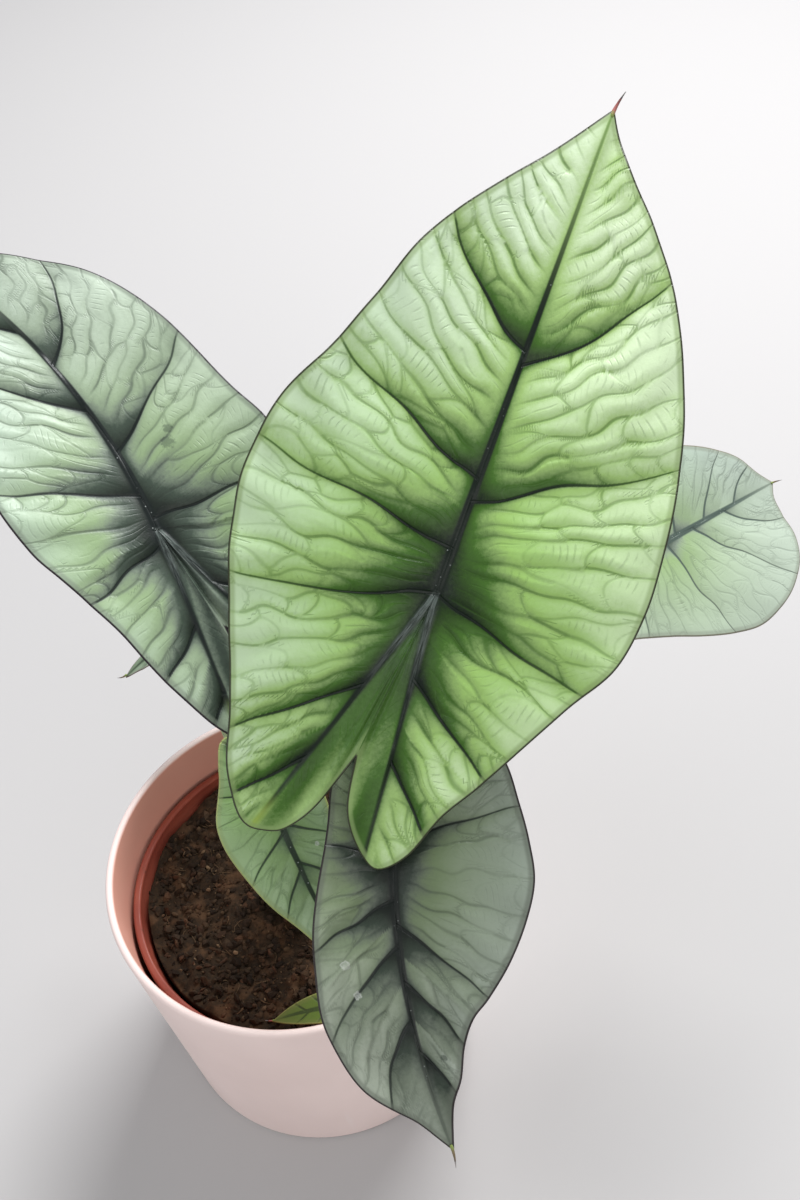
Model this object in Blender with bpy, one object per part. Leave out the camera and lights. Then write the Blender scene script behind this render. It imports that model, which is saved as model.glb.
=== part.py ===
"""Potted alocasia: a jewel alocasia in a nursery pot, standing inside a plain cover pot.

Lengths are in metres, +Z is up. The origin is the centre of the cover pot's flat underside, where
it stands on a table. +Y points away from the plant's best side. The pots are turned about Z. Each
leaf is a blade with a V fold along its midrib, bent along its length, and it sits on a stalk that
rises from the crown at the middle of the soil.
"""
import math
from collections import namedtuple

import bmesh
import bpy
import numpy as np

MM = 0.001
GAP = 0.3 * MM                  # clearance between touching pieces
TURN_STEPS = 48

# Cover pot
COVER_HEIGHT = 118 * MM
COVER_RIM_RADIUS = 70 * MM
COVER_BASE_RADIUS = 62.6 * MM
COVER_WALL = 3 * MM
COVER_FLOOR = 4 * MM
COVER_FOOT_ROUND = 1.5 * MM

# Nursery pot, standing on the cover pot's floor
NURSERY_TOP = 98 * MM
NURSERY_RIM_RADIUS = 64 * MM
NURSERY_BASE_RADIUS = 49 * MM
NURSERY_WALL = 1.5 * MM
NURSERY_LIP = 3 * MM
NURSERY_LIP_HEIGHT = 7 * MM
DRAIN_HOLES = 6
DRAIN_HOLE_RADIUS = 4 * MM
DRAIN_CIRCLE = 30 * MM

# Soil and crown
SOIL_TOP = 93 * MM
SOIL_LUMP = 1.2 * MM
SOIL_RINGS = 6
CROWN_RADIUS = 13.5 * MM
CROWN_BOTTOM = 84 * MM
CROWN_TOP = 101 * MM

# Blades and stalks
BLADE_STEPS = 22                # outline steps on each side of the midrib
BLADE_RINGS = 4
CREASE_WIDTH = 6 * MM           # half width of the rounded bottom of a blade's V fold
STALK_POINTS = 14
STALK_RING = 8.6 * MM           # radius of the circle of stalk bases around the middle one
STALK_CLEARANCE = 0.4 * MM
STALK_END = 1.5 * MM            # straight stretch at each end of a stalk, square to what it meets

Leaf = namedtuple("Leaf", "name joint heading pitch roll bend lobe_bend sweep fold curl thickness "
                          "left right")
Stalk = namedtuple("Stalk", "leaf base_angle base_ring base_radius top_radius rise reach")

# A blade's joint is the point, in mm, where its stalk meets it. The heading is the midrib's compass
# angle from +X, the pitch its climb and the roll its turn about itself, in degrees. The two bend
# radii, in mm, curve the blade down towards its tip and its lobes, and the sweep, per mm, curves the
# midrib to the left. The fold is the V's angle in degrees and the curl, per mm, turns the margins
# down again. Left and right are outlines from the tip to the notch between the lobes, each point an
# angle from the midrib in degrees and a reach in mm.
LEAVES = (
    Leaf("main", (61, -30, 288), 53.6, 40.3, 23.2, 500, 500, 0, 12, 0.0014, 1.0,
         ((0, 139), (6, 120.5), (14, 105), (22, 93), (32, 78.5), (44, 69), (58, 65), (75, 60),
          (90, 56), (103, 54), (120, 54.5), (138, 61), (150, 72), (160, 80), (167, 77), (171, 65),
          (174, 48)),
         ((0, 139), (-4, 125), (-10, 113), (-18, 100), (-30, 83), (-43, 70), (-58, 60), (-75, 54),
          (-92, 50), (-112, 45), (-130, 46), (-147, 52), (-158, 59), (-166, 71), (-172, 77),
          (-177, 72), (-182, 63), (-186, 48))),
    Leaf("left", (-14.2, 8, 286.8), 112, 29.3, 0.2, 450, 450, 0.0022, 12, 0.0014, 1.0,
         ((0, 111), (8, 97), (17, 82), (28, 66), (42, 53), (62, 42), (80, 35), (98, 30.5),
          (118, 29), (138, 32), (153, 39), (164, 48), (172, 58), (178, 64), (183, 61), (187, 50),
          (190, 34)),
         ((0, 111), (-4, 106), (-9, 101), (-15, 93.5), (-22, 83), (-30, 69.5), (-39, 57.5),
          (-52, 48.5), (-68, 45), (-85, 42), (-103, 39), (-120, 39), (-135, 44), (-147, 52),
          (-156, 57), (-162, 54), (-166, 45), (-170, 34))),
    Leaf("lower", (41, -74, 230), -96.6, -29.6, -2.5, 300, 400, 0.0025, 10, 0.0020, 0.9,
         ((0, 77), (4, 65), (9, 58), (14, 50.5), (22, 44.5), (32, 42), (48, 39.5), (65, 38.5),
          (82, 38.5), (98, 37.5), (114, 38), (130, 41), (146, 44), (160, 45), (170, 39),
          (177, 24)),
         ((0, 77), (-5, 70), (-11, 66.5), (-17, 62), (-23, 55.5), (-30, 47.5), (-39, 37),
          (-51, 29), (-68, 22.5), (-86, 19.5), (-106, 19), (-124, 21), (-140, 26), (-154, 33),
          (-165, 38), (-174, 34), (-183, 24))),
    Leaf("small", (2, -22, 191), -70, -29, 27.1, 250, 300, 0, 14, 0.0030, 0.8,
         ((0, 60), (6, 51), (13, 43), (23, 34), (37, 27), (56, 22), (78, 19), (100, 18), (122, 19),
          (142, 23), (157, 27), (168, 25), (176, 14)),
         ((0, 60), (-6, 51), (-12, 43), (-21, 36), (-35, 29), (-52, 24), (-70, 21), (-88, 19),
          (-108, 17), (-130, 17), (-147, 20), (-160, 24), (-170, 23), (-184, 14))),
    Leaf("right", (144.3, 54.2, 204.8), 29.2, -2.4, 34.2, 180, 300, 0, 12, 0.0030, 0.9,
         ((0, 64), (6, 58), (14, 54), (24, 48), (42, 40), (62, 36), (85, 33), (108, 32), (128, 34),
          (146, 40), (158, 45), (167, 42), (176, 24)),
         ((0, 64), (-5, 59.5), (-12, 59), (-20, 60), (-30, 58.5), (-42, 54.5), (-54, 50), (-66, 46),
          (-80, 40), (-98, 35), (-116, 33), (-134, 35), (-150, 41), (-161, 45), (-170, 40),
          (-184, 24))),
    Leaf("back", (-11, 79, 174), 176, -28, 8, 200, 250, 0, 12, 0.0030, 0.8,
         ((0, 65), (6, 52), (14, 42), (25, 34), (40, 28), (60, 24), (84, 22), (108, 21), (130, 23),
          (148, 28), (160, 31), (169, 28), (176, 16)),
         ((0, 65), (-6, 52), (-14, 42), (-25, 34), (-40, 28), (-60, 24), (-84, 22), (-108, 21),
          (-130, 23), (-148, 28), (-160, 31), (-169, 28), (-184, 16))),
    Leaf("young", (15, -54.5, 104), 178, -6, 4, 80, 90, 0, 22, 0.0060, 0.7,
         ((0, 28), (7, 22), (16, 16.5), (32, 11), (60, 7.5), (95, 6.5), (125, 7), (150, 8.5),
          (166, 8), (177, 4)),
         ((0, 28), (-7, 22), (-16, 16.5), (-32, 11), (-60, 7.5), (-95, 6.5), (-125, 7),
          (-150, 8.5), (-166, 8), (-183, 4))),
)

# A stalk leaves the crown at a compass angle on the ring of bases, goes up for its rise and meets
# its blade along the blade's underside direction over its reach, all in mm.
STALKS = (
    Stalk("main", 0, 0, 3.9, 2.5, 90, 62),
    Stalk("left", 140, 1, 3.7, 2.3, 90, 60),
    Stalk("lower", -48, 1, 3.3, 2.0, 60, 50),
    Stalk("small", -108, 1, 2.8, 1.6, 45, 34),
    Stalk("right", 20, 1, 3.4, 2.0, 60, 60),
    Stalk("back", 85, 1, 3.0, 1.8, 50, 40),
)
YOUNG_BASE = (23, -40)          # where the youngest leaf's stalk leaves the soil, in mm
YOUNG_RISE = 6
YOUNG_REACH = 6
YOUNG_BASE_RADIUS = 2.2
YOUNG_TOP_RADIUS = 1.2


def clear_scene():
    for old in list(bpy.data.objects):
        bpy.data.objects.remove(old, do_unlink=True)


def finish(name, rgb, roughness):
    """A plain material with one colour and one roughness."""
    material = bpy.data.materials.new(name)
    material.use_nodes = True
    shader = material.node_tree.nodes["Principled BSDF"]
    shader.inputs["Base Color"].default_value = (*rgb, 1.0)
    shader.inputs["Roughness"].default_value = roughness
    shader.inputs["Metallic"].default_value = 0.0
    return material


def add_object(name, data, material):
    part = bpy.data.objects.new(name, data)
    data.materials.append(material)
    bpy.context.collection.objects.link(part)
    return part


def add_mesh(name, mesh_work, material):
    """Turns a bmesh into an object, smooth apart from its sharp edges."""
    bmesh.ops.recalc_face_normals(mesh_work, faces=mesh_work.faces)
    mesh = bpy.data.meshes.new(name)
    mesh_work.to_mesh(mesh)
    mesh_work.free()
    mesh.shade_smooth()
    mesh.set_sharp_from_angle(angle=math.radians(35))
    return add_object(name, mesh, material)


def quarter_arc(centre, radius, start, end, steps=4):
    """Points (r, z) on an arc about a centre, from one angle to another in degrees."""
    angles = np.radians(np.linspace(start, end, steps + 1))
    return [(centre[0] + radius * math.cos(a), centre[1] + radius * math.sin(a)) for a in angles]


def turned(name, profile, material):
    """Spins a profile of (r, z) points, which starts and ends on the axis, once about Z."""
    work = bmesh.new()
    verts = [work.verts.new((r, 0.0, z)) for r, z in profile]
    edges = [work.edges.new(pair) for pair in zip(verts[:-1], verts[1:])]
    bmesh.ops.spin(work, geom=verts + edges, cent=(0, 0, 0), axis=(0, 0, 1),
                   angle=2 * math.pi, steps=TURN_STEPS)
    bmesh.ops.remove_doubles(work, verts=work.verts, dist=0.01 * MM)
    return add_mesh(name, work, material)


def cover_radius(z):
    """Outside radius of the cover pot at a height."""
    return COVER_BASE_RADIUS + (COVER_RIM_RADIUS - COVER_BASE_RADIUS) * z / COVER_HEIGHT


def nursery_radius(z):
    """Outside radius of the nursery pot's wall at a height, without its lip."""
    top = NURSERY_RIM_RADIUS - NURSERY_LIP + NURSERY_WALL
    low = COVER_FLOOR + GAP
    return NURSERY_BASE_RADIUS + (top - NURSERY_BASE_RADIUS) * (z - low) / (NURSERY_TOP - low)


def cover_pot(material):
    """A tapered pot with a flat underside and a fully rounded rim."""
    half = COVER_WALL / 2
    foot = (COVER_BASE_RADIUS - COVER_FOOT_ROUND, COVER_FOOT_ROUND)
    rim = (COVER_RIM_RADIUS - half, COVER_HEIGHT - half)
    profile = [(0, 0)]
    profile += quarter_arc(foot, COVER_FOOT_ROUND, -90, 0, 2)
    profile += quarter_arc(rim, half, 0, 180, 6)
    profile += quarter_arc((cover_radius(COVER_FLOOR) - COVER_WALL - 2 * MM, COVER_FLOOR + 2 * MM),
                           2 * MM, 0, -90, 2)
    profile += [(0, COVER_FLOOR)]
    return turned("cover_pot", profile, material)


def nursery_pot(material):
    """A thin tapered pot with a thicker lip around its mouth and drain holes in its floor."""
    low = COVER_FLOOR + GAP
    lip_low = NURSERY_TOP - NURSERY_LIP_HEIGHT
    lip_inner = NURSERY_RIM_RADIUS - NURSERY_LIP
    profile = [
        (0, low),
        (NURSERY_BASE_RADIUS, low),
        (nursery_radius(lip_low), lip_low),
        (NURSERY_RIM_RADIUS - 1 * MM, lip_low),
        (NURSERY_RIM_RADIUS, NURSERY_TOP - 1 * MM),
        (NURSERY_RIM_RADIUS - 1 * MM, NURSERY_TOP),
        (lip_inner + 0.5 * MM, NURSERY_TOP),
        (lip_inner, NURSERY_TOP - 1 * MM),
        (nursery_radius(lip_low) - NURSERY_WALL, lip_low),
        (NURSERY_BASE_RADIUS - NURSERY_WALL, low + NURSERY_WALL),
        (0, low + NURSERY_WALL),
    ]
    pot = turned("nursery_pot", profile, material)
    for number in range(DRAIN_HOLES):
        angle = 2 * math.pi * number / DRAIN_HOLES
        work = bmesh.new()
        bmesh.ops.create_cone(work, cap_ends=True, segments=12, radius1=DRAIN_HOLE_RADIUS,
                              radius2=DRAIN_HOLE_RADIUS, depth=6 * MM)
        cutter = add_mesh(f"drain_cutter_{number + 1}", work, material)
        cutter.location = (DRAIN_CIRCLE * math.cos(angle), DRAIN_CIRCLE * math.sin(angle), low)
        cutter.hide_render = True
        cutter.display_type = "WIRE"
        cut = pot.modifiers.new(f"drain_{number + 1}", "BOOLEAN")
        cut.operation = "DIFFERENCE"
        cut.object = cutter
    return pot


def soil_height(x, y):
    """Height of the lumpy soil: slow waves in two directions on a level."""
    waves = np.sin(x * 190 + 1.0) * np.cos(y * 160 - 0.5) + 0.6 * np.sin(x * 90 - y * 230)
    return SOIL_TOP + SOIL_LUMP * waves / 1.6


def soil(material):
    """The soil's plug: it fills the nursery pot and has a round pocket for the crown."""
    low = COVER_FLOOR + NURSERY_WALL + 2 * GAP
    pocket = CROWN_RADIUS + GAP
    floor_radius = nursery_radius(low) - NURSERY_WALL - 2 * GAP
    edge_radius = nursery_radius(SOIL_TOP - NURSERY_LIP_HEIGHT) - NURSERY_WALL - 2 * GAP
    angles = np.arange(TURN_STEPS) * 2 * math.pi / TURN_STEPS
    radii = np.linspace(pocket, edge_radius, SOIL_RINGS + 1)
    work = bmesh.new()

    def ring(radius, heights):
        return [work.verts.new((radius * math.cos(a), radius * math.sin(a), z))
                for a, z in zip(angles, heights)]

    rings = [ring(floor_radius, np.full(TURN_STEPS, low))]
    rings.append(ring(edge_radius, np.full(TURN_STEPS, SOIL_TOP - NURSERY_LIP_HEIGHT)))
    for radius in radii[::-1]:
        heights = soil_height(radius * np.cos(angles), radius * np.sin(angles))
        rings.append(ring(radius, heights))
    rings.append(ring(pocket, np.full(TURN_STEPS, CROWN_BOTTOM - GAP)))
    for lower, upper in zip(rings[:-1], rings[1:]):
        for i in range(TURN_STEPS):
            j = (i + 1) % TURN_STEPS
            work.faces.new((lower[i], lower[j], upper[j], upper[i]))
    work.faces.new(rings[0])
    work.faces.new(rings[-1])
    return add_mesh("soil", work, material)


def crown(material):
    """The short stem at soil level: a barrel with a slightly smaller top that the stalks stand on."""
    profile = [(0, CROWN_BOTTOM), (CROWN_RADIUS - 1 * MM, CROWN_BOTTOM), (CROWN_RADIUS, SOIL_TOP),
               (CROWN_RADIUS, CROWN_TOP - 3 * MM), (CROWN_RADIUS - 1 * MM, CROWN_TOP), (0, CROWN_TOP)]
    return turned("crown", profile, material)


def leaf_axes(leaf):
    """Unit vectors along the midrib, to its left and out of the blade's upper face."""
    heading, pitch, roll = np.radians((leaf.heading, leaf.pitch, leaf.roll))
    along = np.array((math.cos(pitch) * math.cos(heading), math.cos(pitch) * math.sin(heading),
                      math.sin(pitch)))
    level = np.array((-math.sin(heading), math.cos(heading), 0.0))
    side = level * math.cos(roll) + np.cross(along, level) * math.sin(roll)
    return along, side, np.cross(along, side)


def blade_point(leaf, u, v):
    """Places flat blade coordinates in space: u runs along the midrib, which is bent on an arc that
    drops to the tip and to the lobes and sweeps to the left, and v runs across, lifted by the V
    fold less the curl."""
    along, side, up = leaf_axes(leaf)
    bend = np.where(u >= 0, 1 / (leaf.bend * MM), 1 / (leaf.lobe_bend * MM))
    lift = math.tan(math.radians(leaf.fold)) * (np.sqrt(v * v + CREASE_WIDTH ** 2) - CREASE_WIDTH)
    lift = lift - leaf.curl / MM * v * v
    rise = (1 - np.cos(bend * u)) / bend
    spot = np.array(leaf.joint) * MM + np.multiply.outer(np.sin(bend * u) / bend, along)
    swept = v + leaf.sweep / MM * np.maximum(u, 0) ** 2
    spot = spot - np.multiply.outer(rise, up) + np.multiply.outer(swept, side)
    return spot + np.multiply.outer(lift * np.cos(bend * u), up) \
        + np.multiply.outer(lift * np.sin(bend * u), along)


def smooth_side(points, steps):
    """Samples a Catmull-Rom curve through polar points, in equal steps of its length."""
    angle, reach = np.radians([p[0] for p in points]), np.array([p[1] for p in points]) * MM
    knots = np.stack((reach * np.cos(angle), reach * np.sin(angle)), axis=1)
    knots = np.concatenate((2 * knots[:1] - knots[1:2], knots, 2 * knots[-1:] - knots[-2:-1]))
    t = np.linspace(0, 1, 12, endpoint=False)[:, None]
    spans = []
    for a, b, c, d in zip(knots[:-3], knots[1:-2], knots[2:-1], knots[3:]):
        spans.append(b + 0.5 * t * (c - a + t * (2 * a - 5 * b + 4 * c - d
                                                + t * (3 * b - a - 3 * c + d))))
    curve = np.concatenate(spans + [knots[-2:-1]])
    length = np.concatenate(((0,), np.cumsum(np.linalg.norm(np.diff(curve, axis=0), axis=1))))
    even = np.linspace(0, length[-1], steps + 1)
    return np.stack([np.interp(even, length, curve[:, k]) for k in (0, 1)], axis=1)


def blade(leaf, material):
    """A blade: rings of the outline shrunk towards the stalk's joint, then thickened both ways."""
    left = smooth_side(leaf.left, BLADE_STEPS)
    right = smooth_side(leaf.right, BLADE_STEPS)
    outline = np.concatenate((left, right[-2:0:-1]))
    count = len(outline)
    work = bmesh.new()
    middle = work.verts.new(blade_point(leaf, 0.0, 0.0))
    rings = []
    for number in range(1, BLADE_RINGS + 1):
        flat = outline * number / BLADE_RINGS
        rings.append([work.verts.new(p) for p in blade_point(leaf, flat[:, 0], flat[:, 1])])
    for i in range(count):
        j = (i + 1) % count
        work.faces.new((middle, rings[0][i], rings[0][j]))
        for inner, outer in zip(rings[:-1], rings[1:]):
            work.faces.new((inner[i], outer[i], outer[j]))
            work.faces.new((inner[i], outer[j], inner[j]))
    part = add_mesh(f"blade_{leaf.name}", work, material)
    skin = part.modifiers.new("thickness", "SOLIDIFY")
    skin.thickness = leaf.thickness * MM
    skin.offset = 0.0
    return part


def stalk(leaf, base, rise, reach, base_radius, top_radius, material):
    """A stalk: a tapered tube on a cubic curve that starts upwards and ends square to its blade."""
    up = leaf_axes(leaf)[2]
    foot = np.array(base)
    end = np.array(leaf.joint) * MM - up * (leaf.thickness * MM / 2 + STALK_CLEARANCE)
    start = foot + np.array((0, 0, STALK_END))
    stop = end - up * STALK_END
    first = start + np.array((0, 0, rise * MM))
    second = stop - up * reach * MM
    t = np.linspace(0, 1, STALK_POINTS)[:, None]
    path = (1 - t) ** 3 * start + 3 * t * (1 - t) ** 2 * first + 3 * t * t * (1 - t) * second
    path = np.concatenate(([foot], path + t ** 3 * stop, [end]))
    curve = bpy.data.curves.new(f"petiole_{leaf.name}", "CURVE")
    curve.dimensions = "3D"
    curve.bevel_depth = 1 * MM
    curve.bevel_resolution = 2
    curve.use_fill_caps = True
    spline = curve.splines.new("POLY")
    spline.points.add(len(path) - 1)
    run = np.concatenate(((0,), t[:, 0], (1,)))
    widths = top_radius + (base_radius - top_radius) * (1 - run) ** 1.5
    for point, place, width in zip(spline.points, path, widths):
        point.co = (*place, 1.0)
        point.radius = width
    return add_object(f"petiole_{leaf.name}", curve, material)


def main():
    clear_scene()
    leaves = {leaf.name: leaf for leaf in LEAVES}
    cover_pot(finish("cover_plastic", (0.72, 0.55, 0.52), 0.55))
    nursery_pot(finish("nursery_plastic", (0.29, 0.06, 0.04), 0.45))
    soil(finish("potting_mix", (0.022, 0.014, 0.009), 0.95))
    crown(finish("crown_skin", (0.12, 0.13, 0.06), 0.7))
    green = {
        "main": (0.30, 0.45, 0.20),
        "left": (0.24, 0.32, 0.22),
        "lower": (0.13, 0.19, 0.12),
        "small": (0.22, 0.34, 0.18),
        "right": (0.35, 0.44, 0.35),
        "back": (0.22, 0.30, 0.20),
        "young": (0.10, 0.13, 0.03),
    }
    for leaf in LEAVES:
        blade(leaf, finish(f"blade_{leaf.name}_green", green[leaf.name], 0.45))
    stalk_green = finish("stalk_green", (0.16, 0.22, 0.09), 0.45)
    for item in STALKS:
        angle = math.radians(item.base_angle)
        ring = item.base_ring * STALK_RING
        base = (ring * math.cos(angle), ring * math.sin(angle), CROWN_TOP + STALK_CLEARANCE)
        stalk(leaves[item.leaf], base, item.rise, item.reach, item.base_radius, item.top_radius,
              stalk_green)
    x, y = (value * MM for value in YOUNG_BASE)
    base = (x, y, float(soil_height(x, y)) + 1 * MM)
    stalk(leaves["young"], base, YOUNG_RISE, YOUNG_REACH, YOUNG_BASE_RADIUS, YOUNG_TOP_RADIUS,
          stalk_green)


main()
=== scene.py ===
"""Looks of the potted alocasia: quilted blades on their stalks, a crown, soil and two pots.

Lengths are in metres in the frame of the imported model: +Z up, the origin under the cover pot's
middle, +Y away from the plant's best side. Every piece is a surface worked out on a grid of two
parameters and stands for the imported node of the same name.
"""
import math
from collections import namedtuple

import bpy
import numpy as np
from mathutils import Matrix, Vector


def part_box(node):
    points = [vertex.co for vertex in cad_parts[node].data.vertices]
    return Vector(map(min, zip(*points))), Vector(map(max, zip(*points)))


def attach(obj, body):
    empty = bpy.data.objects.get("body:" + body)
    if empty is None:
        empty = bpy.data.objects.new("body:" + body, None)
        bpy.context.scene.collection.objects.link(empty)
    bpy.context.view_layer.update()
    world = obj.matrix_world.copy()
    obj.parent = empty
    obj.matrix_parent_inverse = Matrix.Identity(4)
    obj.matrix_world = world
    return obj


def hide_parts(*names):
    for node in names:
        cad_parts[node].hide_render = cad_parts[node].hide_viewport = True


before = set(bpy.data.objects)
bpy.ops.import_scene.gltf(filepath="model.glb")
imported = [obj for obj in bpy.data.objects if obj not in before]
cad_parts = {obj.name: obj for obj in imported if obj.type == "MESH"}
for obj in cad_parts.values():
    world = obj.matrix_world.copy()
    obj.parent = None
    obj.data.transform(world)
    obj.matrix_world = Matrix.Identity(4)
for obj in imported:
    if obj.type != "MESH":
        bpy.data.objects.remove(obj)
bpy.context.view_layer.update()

MM = 0.001
TAU = 2 * math.pi

# ---------------------------------------------------------------------------------------------
# Leaves: the same joints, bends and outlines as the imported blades
# ---------------------------------------------------------------------------------------------

CREASE_WIDTH = 6 * MM           # half width of the rounded bottom of a blade's V fold

Leaf = namedtuple("Leaf", "name joint heading pitch roll bend lobe_bend sweep fold curl thickness "
                          "left right")

# Left outlines of the two blades whose halves are alike.
BACK_SIDE = ((0, 65), (6, 52), (14, 42), (25, 34), (40, 28), (60, 24), (84, 22), (108, 21), (130, 23),
             (148, 28), (160, 31), (169, 28), (176, 16))
YOUNG_SIDE = ((0, 28), (7, 22), (16, 16.5), (32, 11), (60, 7.5), (95, 6.5), (125, 7), (150, 8.5),
              (166, 8), (177, 4))


def mirrored(side):
    """The other outline of a blade whose halves are alike. Both end at the same notch point."""
    notch_angle, notch_reach = side[-1]
    return tuple((-angle, reach) for angle, reach in side[:-1]) + ((notch_angle - 360, notch_reach),)


# A blade's joint is the point, in mm, where its stalk meets it. The heading is the midrib's compass
# angle from +X, the pitch its climb and the roll its turn about itself, in degrees. The two bend
# radii, in mm, curve the blade down towards its tip and its lobes, and the sweep, per mm, curves the
# midrib to the left. The fold is the V's angle in degrees and the curl, per mm, turns the margins
# down again. Left and right are outlines from the tip to the notch between the lobes, each point an
# angle from the midrib in degrees and a reach in mm.
LEAVES = (
    Leaf("main", (61, -30, 288), 53.6, 40.3, 23.2, 500, 500, 0, 12, 0.0014, 1.0,
         ((0, 139), (6, 120.5), (14, 105), (22, 93), (32, 78.5), (44, 69), (58, 65), (75, 60),
          (90, 56), (103, 54), (120, 54.5), (138, 61), (150, 72), (160, 80), (167, 77), (171, 65),
          (174, 48)),
         ((0, 139), (-4, 125), (-10, 113), (-18, 100), (-30, 83), (-43, 70), (-58, 60), (-75, 54),
          (-92, 50), (-112, 45), (-130, 46), (-147, 52), (-158, 59), (-166, 71), (-172, 77),
          (-177, 72), (-182, 63), (-186, 48))),
    Leaf("left", (-14.2, 8, 286.8), 112, 29.3, 0.2, 450, 450, 0.0022, 12, 0.0014, 1.0,
         ((0, 111), (8, 97), (17, 82), (28, 66), (42, 53), (62, 42), (80, 35), (98, 30.5),
          (118, 29), (138, 32), (153, 39), (164, 48), (172, 58), (178, 64), (183, 61), (187, 50),
          (190, 34)),
         ((0, 111), (-4, 106), (-9, 101), (-15, 93.5), (-22, 83), (-30, 69.5), (-39, 57.5),
          (-52, 48.5), (-68, 45), (-85, 42), (-103, 39), (-120, 39), (-135, 44), (-147, 52),
          (-156, 57), (-162, 54), (-166, 45), (-170, 34))),
    Leaf("lower", (41, -74, 230), -96.6, -29.6, -2.5, 300, 400, 0.0025, 10, 0.0020, 0.9,
         ((0, 77), (4, 65), (9, 58), (14, 50.5), (22, 44.5), (32, 42), (48, 39.5), (65, 38.5),
          (82, 38.5), (98, 37.5), (114, 38), (130, 41), (146, 44), (160, 45), (170, 39),
          (177, 24)),
         ((0, 77), (-5, 70), (-11, 66.5), (-17, 62), (-23, 55.5), (-30, 47.5), (-39, 37),
          (-51, 29), (-68, 22.5), (-86, 19.5), (-106, 19), (-124, 21), (-140, 26), (-154, 33),
          (-165, 38), (-174, 34), (-183, 24))),
    Leaf("small", (2, -22, 191), -70, -29, 27.1, 250, 300, 0, 14, 0.0030, 0.8,
         ((0, 60), (6, 51), (13, 43), (23, 34), (37, 27), (56, 22), (78, 19), (100, 18), (122, 19),
          (142, 23), (157, 27), (168, 25), (176, 14)),
         ((0, 60), (-6, 51), (-12, 43), (-21, 36), (-35, 29), (-52, 24), (-70, 21), (-88, 19),
          (-108, 17), (-130, 17), (-147, 20), (-160, 24), (-170, 23), (-184, 14))),
    Leaf("right", (144.3, 54.2, 204.8), 29.2, -2.4, 34.2, 180, 300, 0, 12, 0.0030, 0.9,
         ((0, 64), (6, 58), (14, 54), (24, 48), (42, 40), (62, 36), (85, 33), (108, 32), (128, 34),
          (146, 40), (158, 45), (167, 42), (176, 24)),
         ((0, 64), (-5, 59.5), (-12, 59), (-20, 60), (-30, 58.5), (-42, 54.5), (-54, 50), (-66, 46),
          (-80, 40), (-98, 35), (-116, 33), (-134, 35), (-150, 41), (-161, 45), (-170, 40),
          (-184, 24))),
    Leaf("back", (-11, 79, 174), 176, -28, 8, 200, 250, 0, 12, 0.0030, 0.8,
         BACK_SIDE, mirrored(BACK_SIDE)),
    Leaf("young", (15, -54.5, 104), 178, -6, 4, 80, 90, 0, 22, 0.0060, 0.7,
         YOUNG_SIDE, mirrored(YOUNG_SIDE)),
)

# How each blade is meshed, veined and coloured. Spokes and rings are the steps round it and out from
# its joint. The ribs are the angles from the midrib, in degrees, of the two ribs that run into the
# lobes. The main veins leave the midrib, or where negative those ribs, at these shares of the blade's
# reach, and the leans scale their angle to it. Relief, net, bloom and halo are strengths: of the
# quilting, of the net in it, of the waxy bloom and of the dark along the veins, which includes painted
# shade on their tipward sides. The colours go from the palest pillow through mid and deep green to
# the veins' near-black, then come the rim's and the underside's.
Looks = namedtuple("Looks", "spokes rings ribs veins_left veins_right leans relief net bloom halo seed "
                            "pale mid deep ink rim under")

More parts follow.
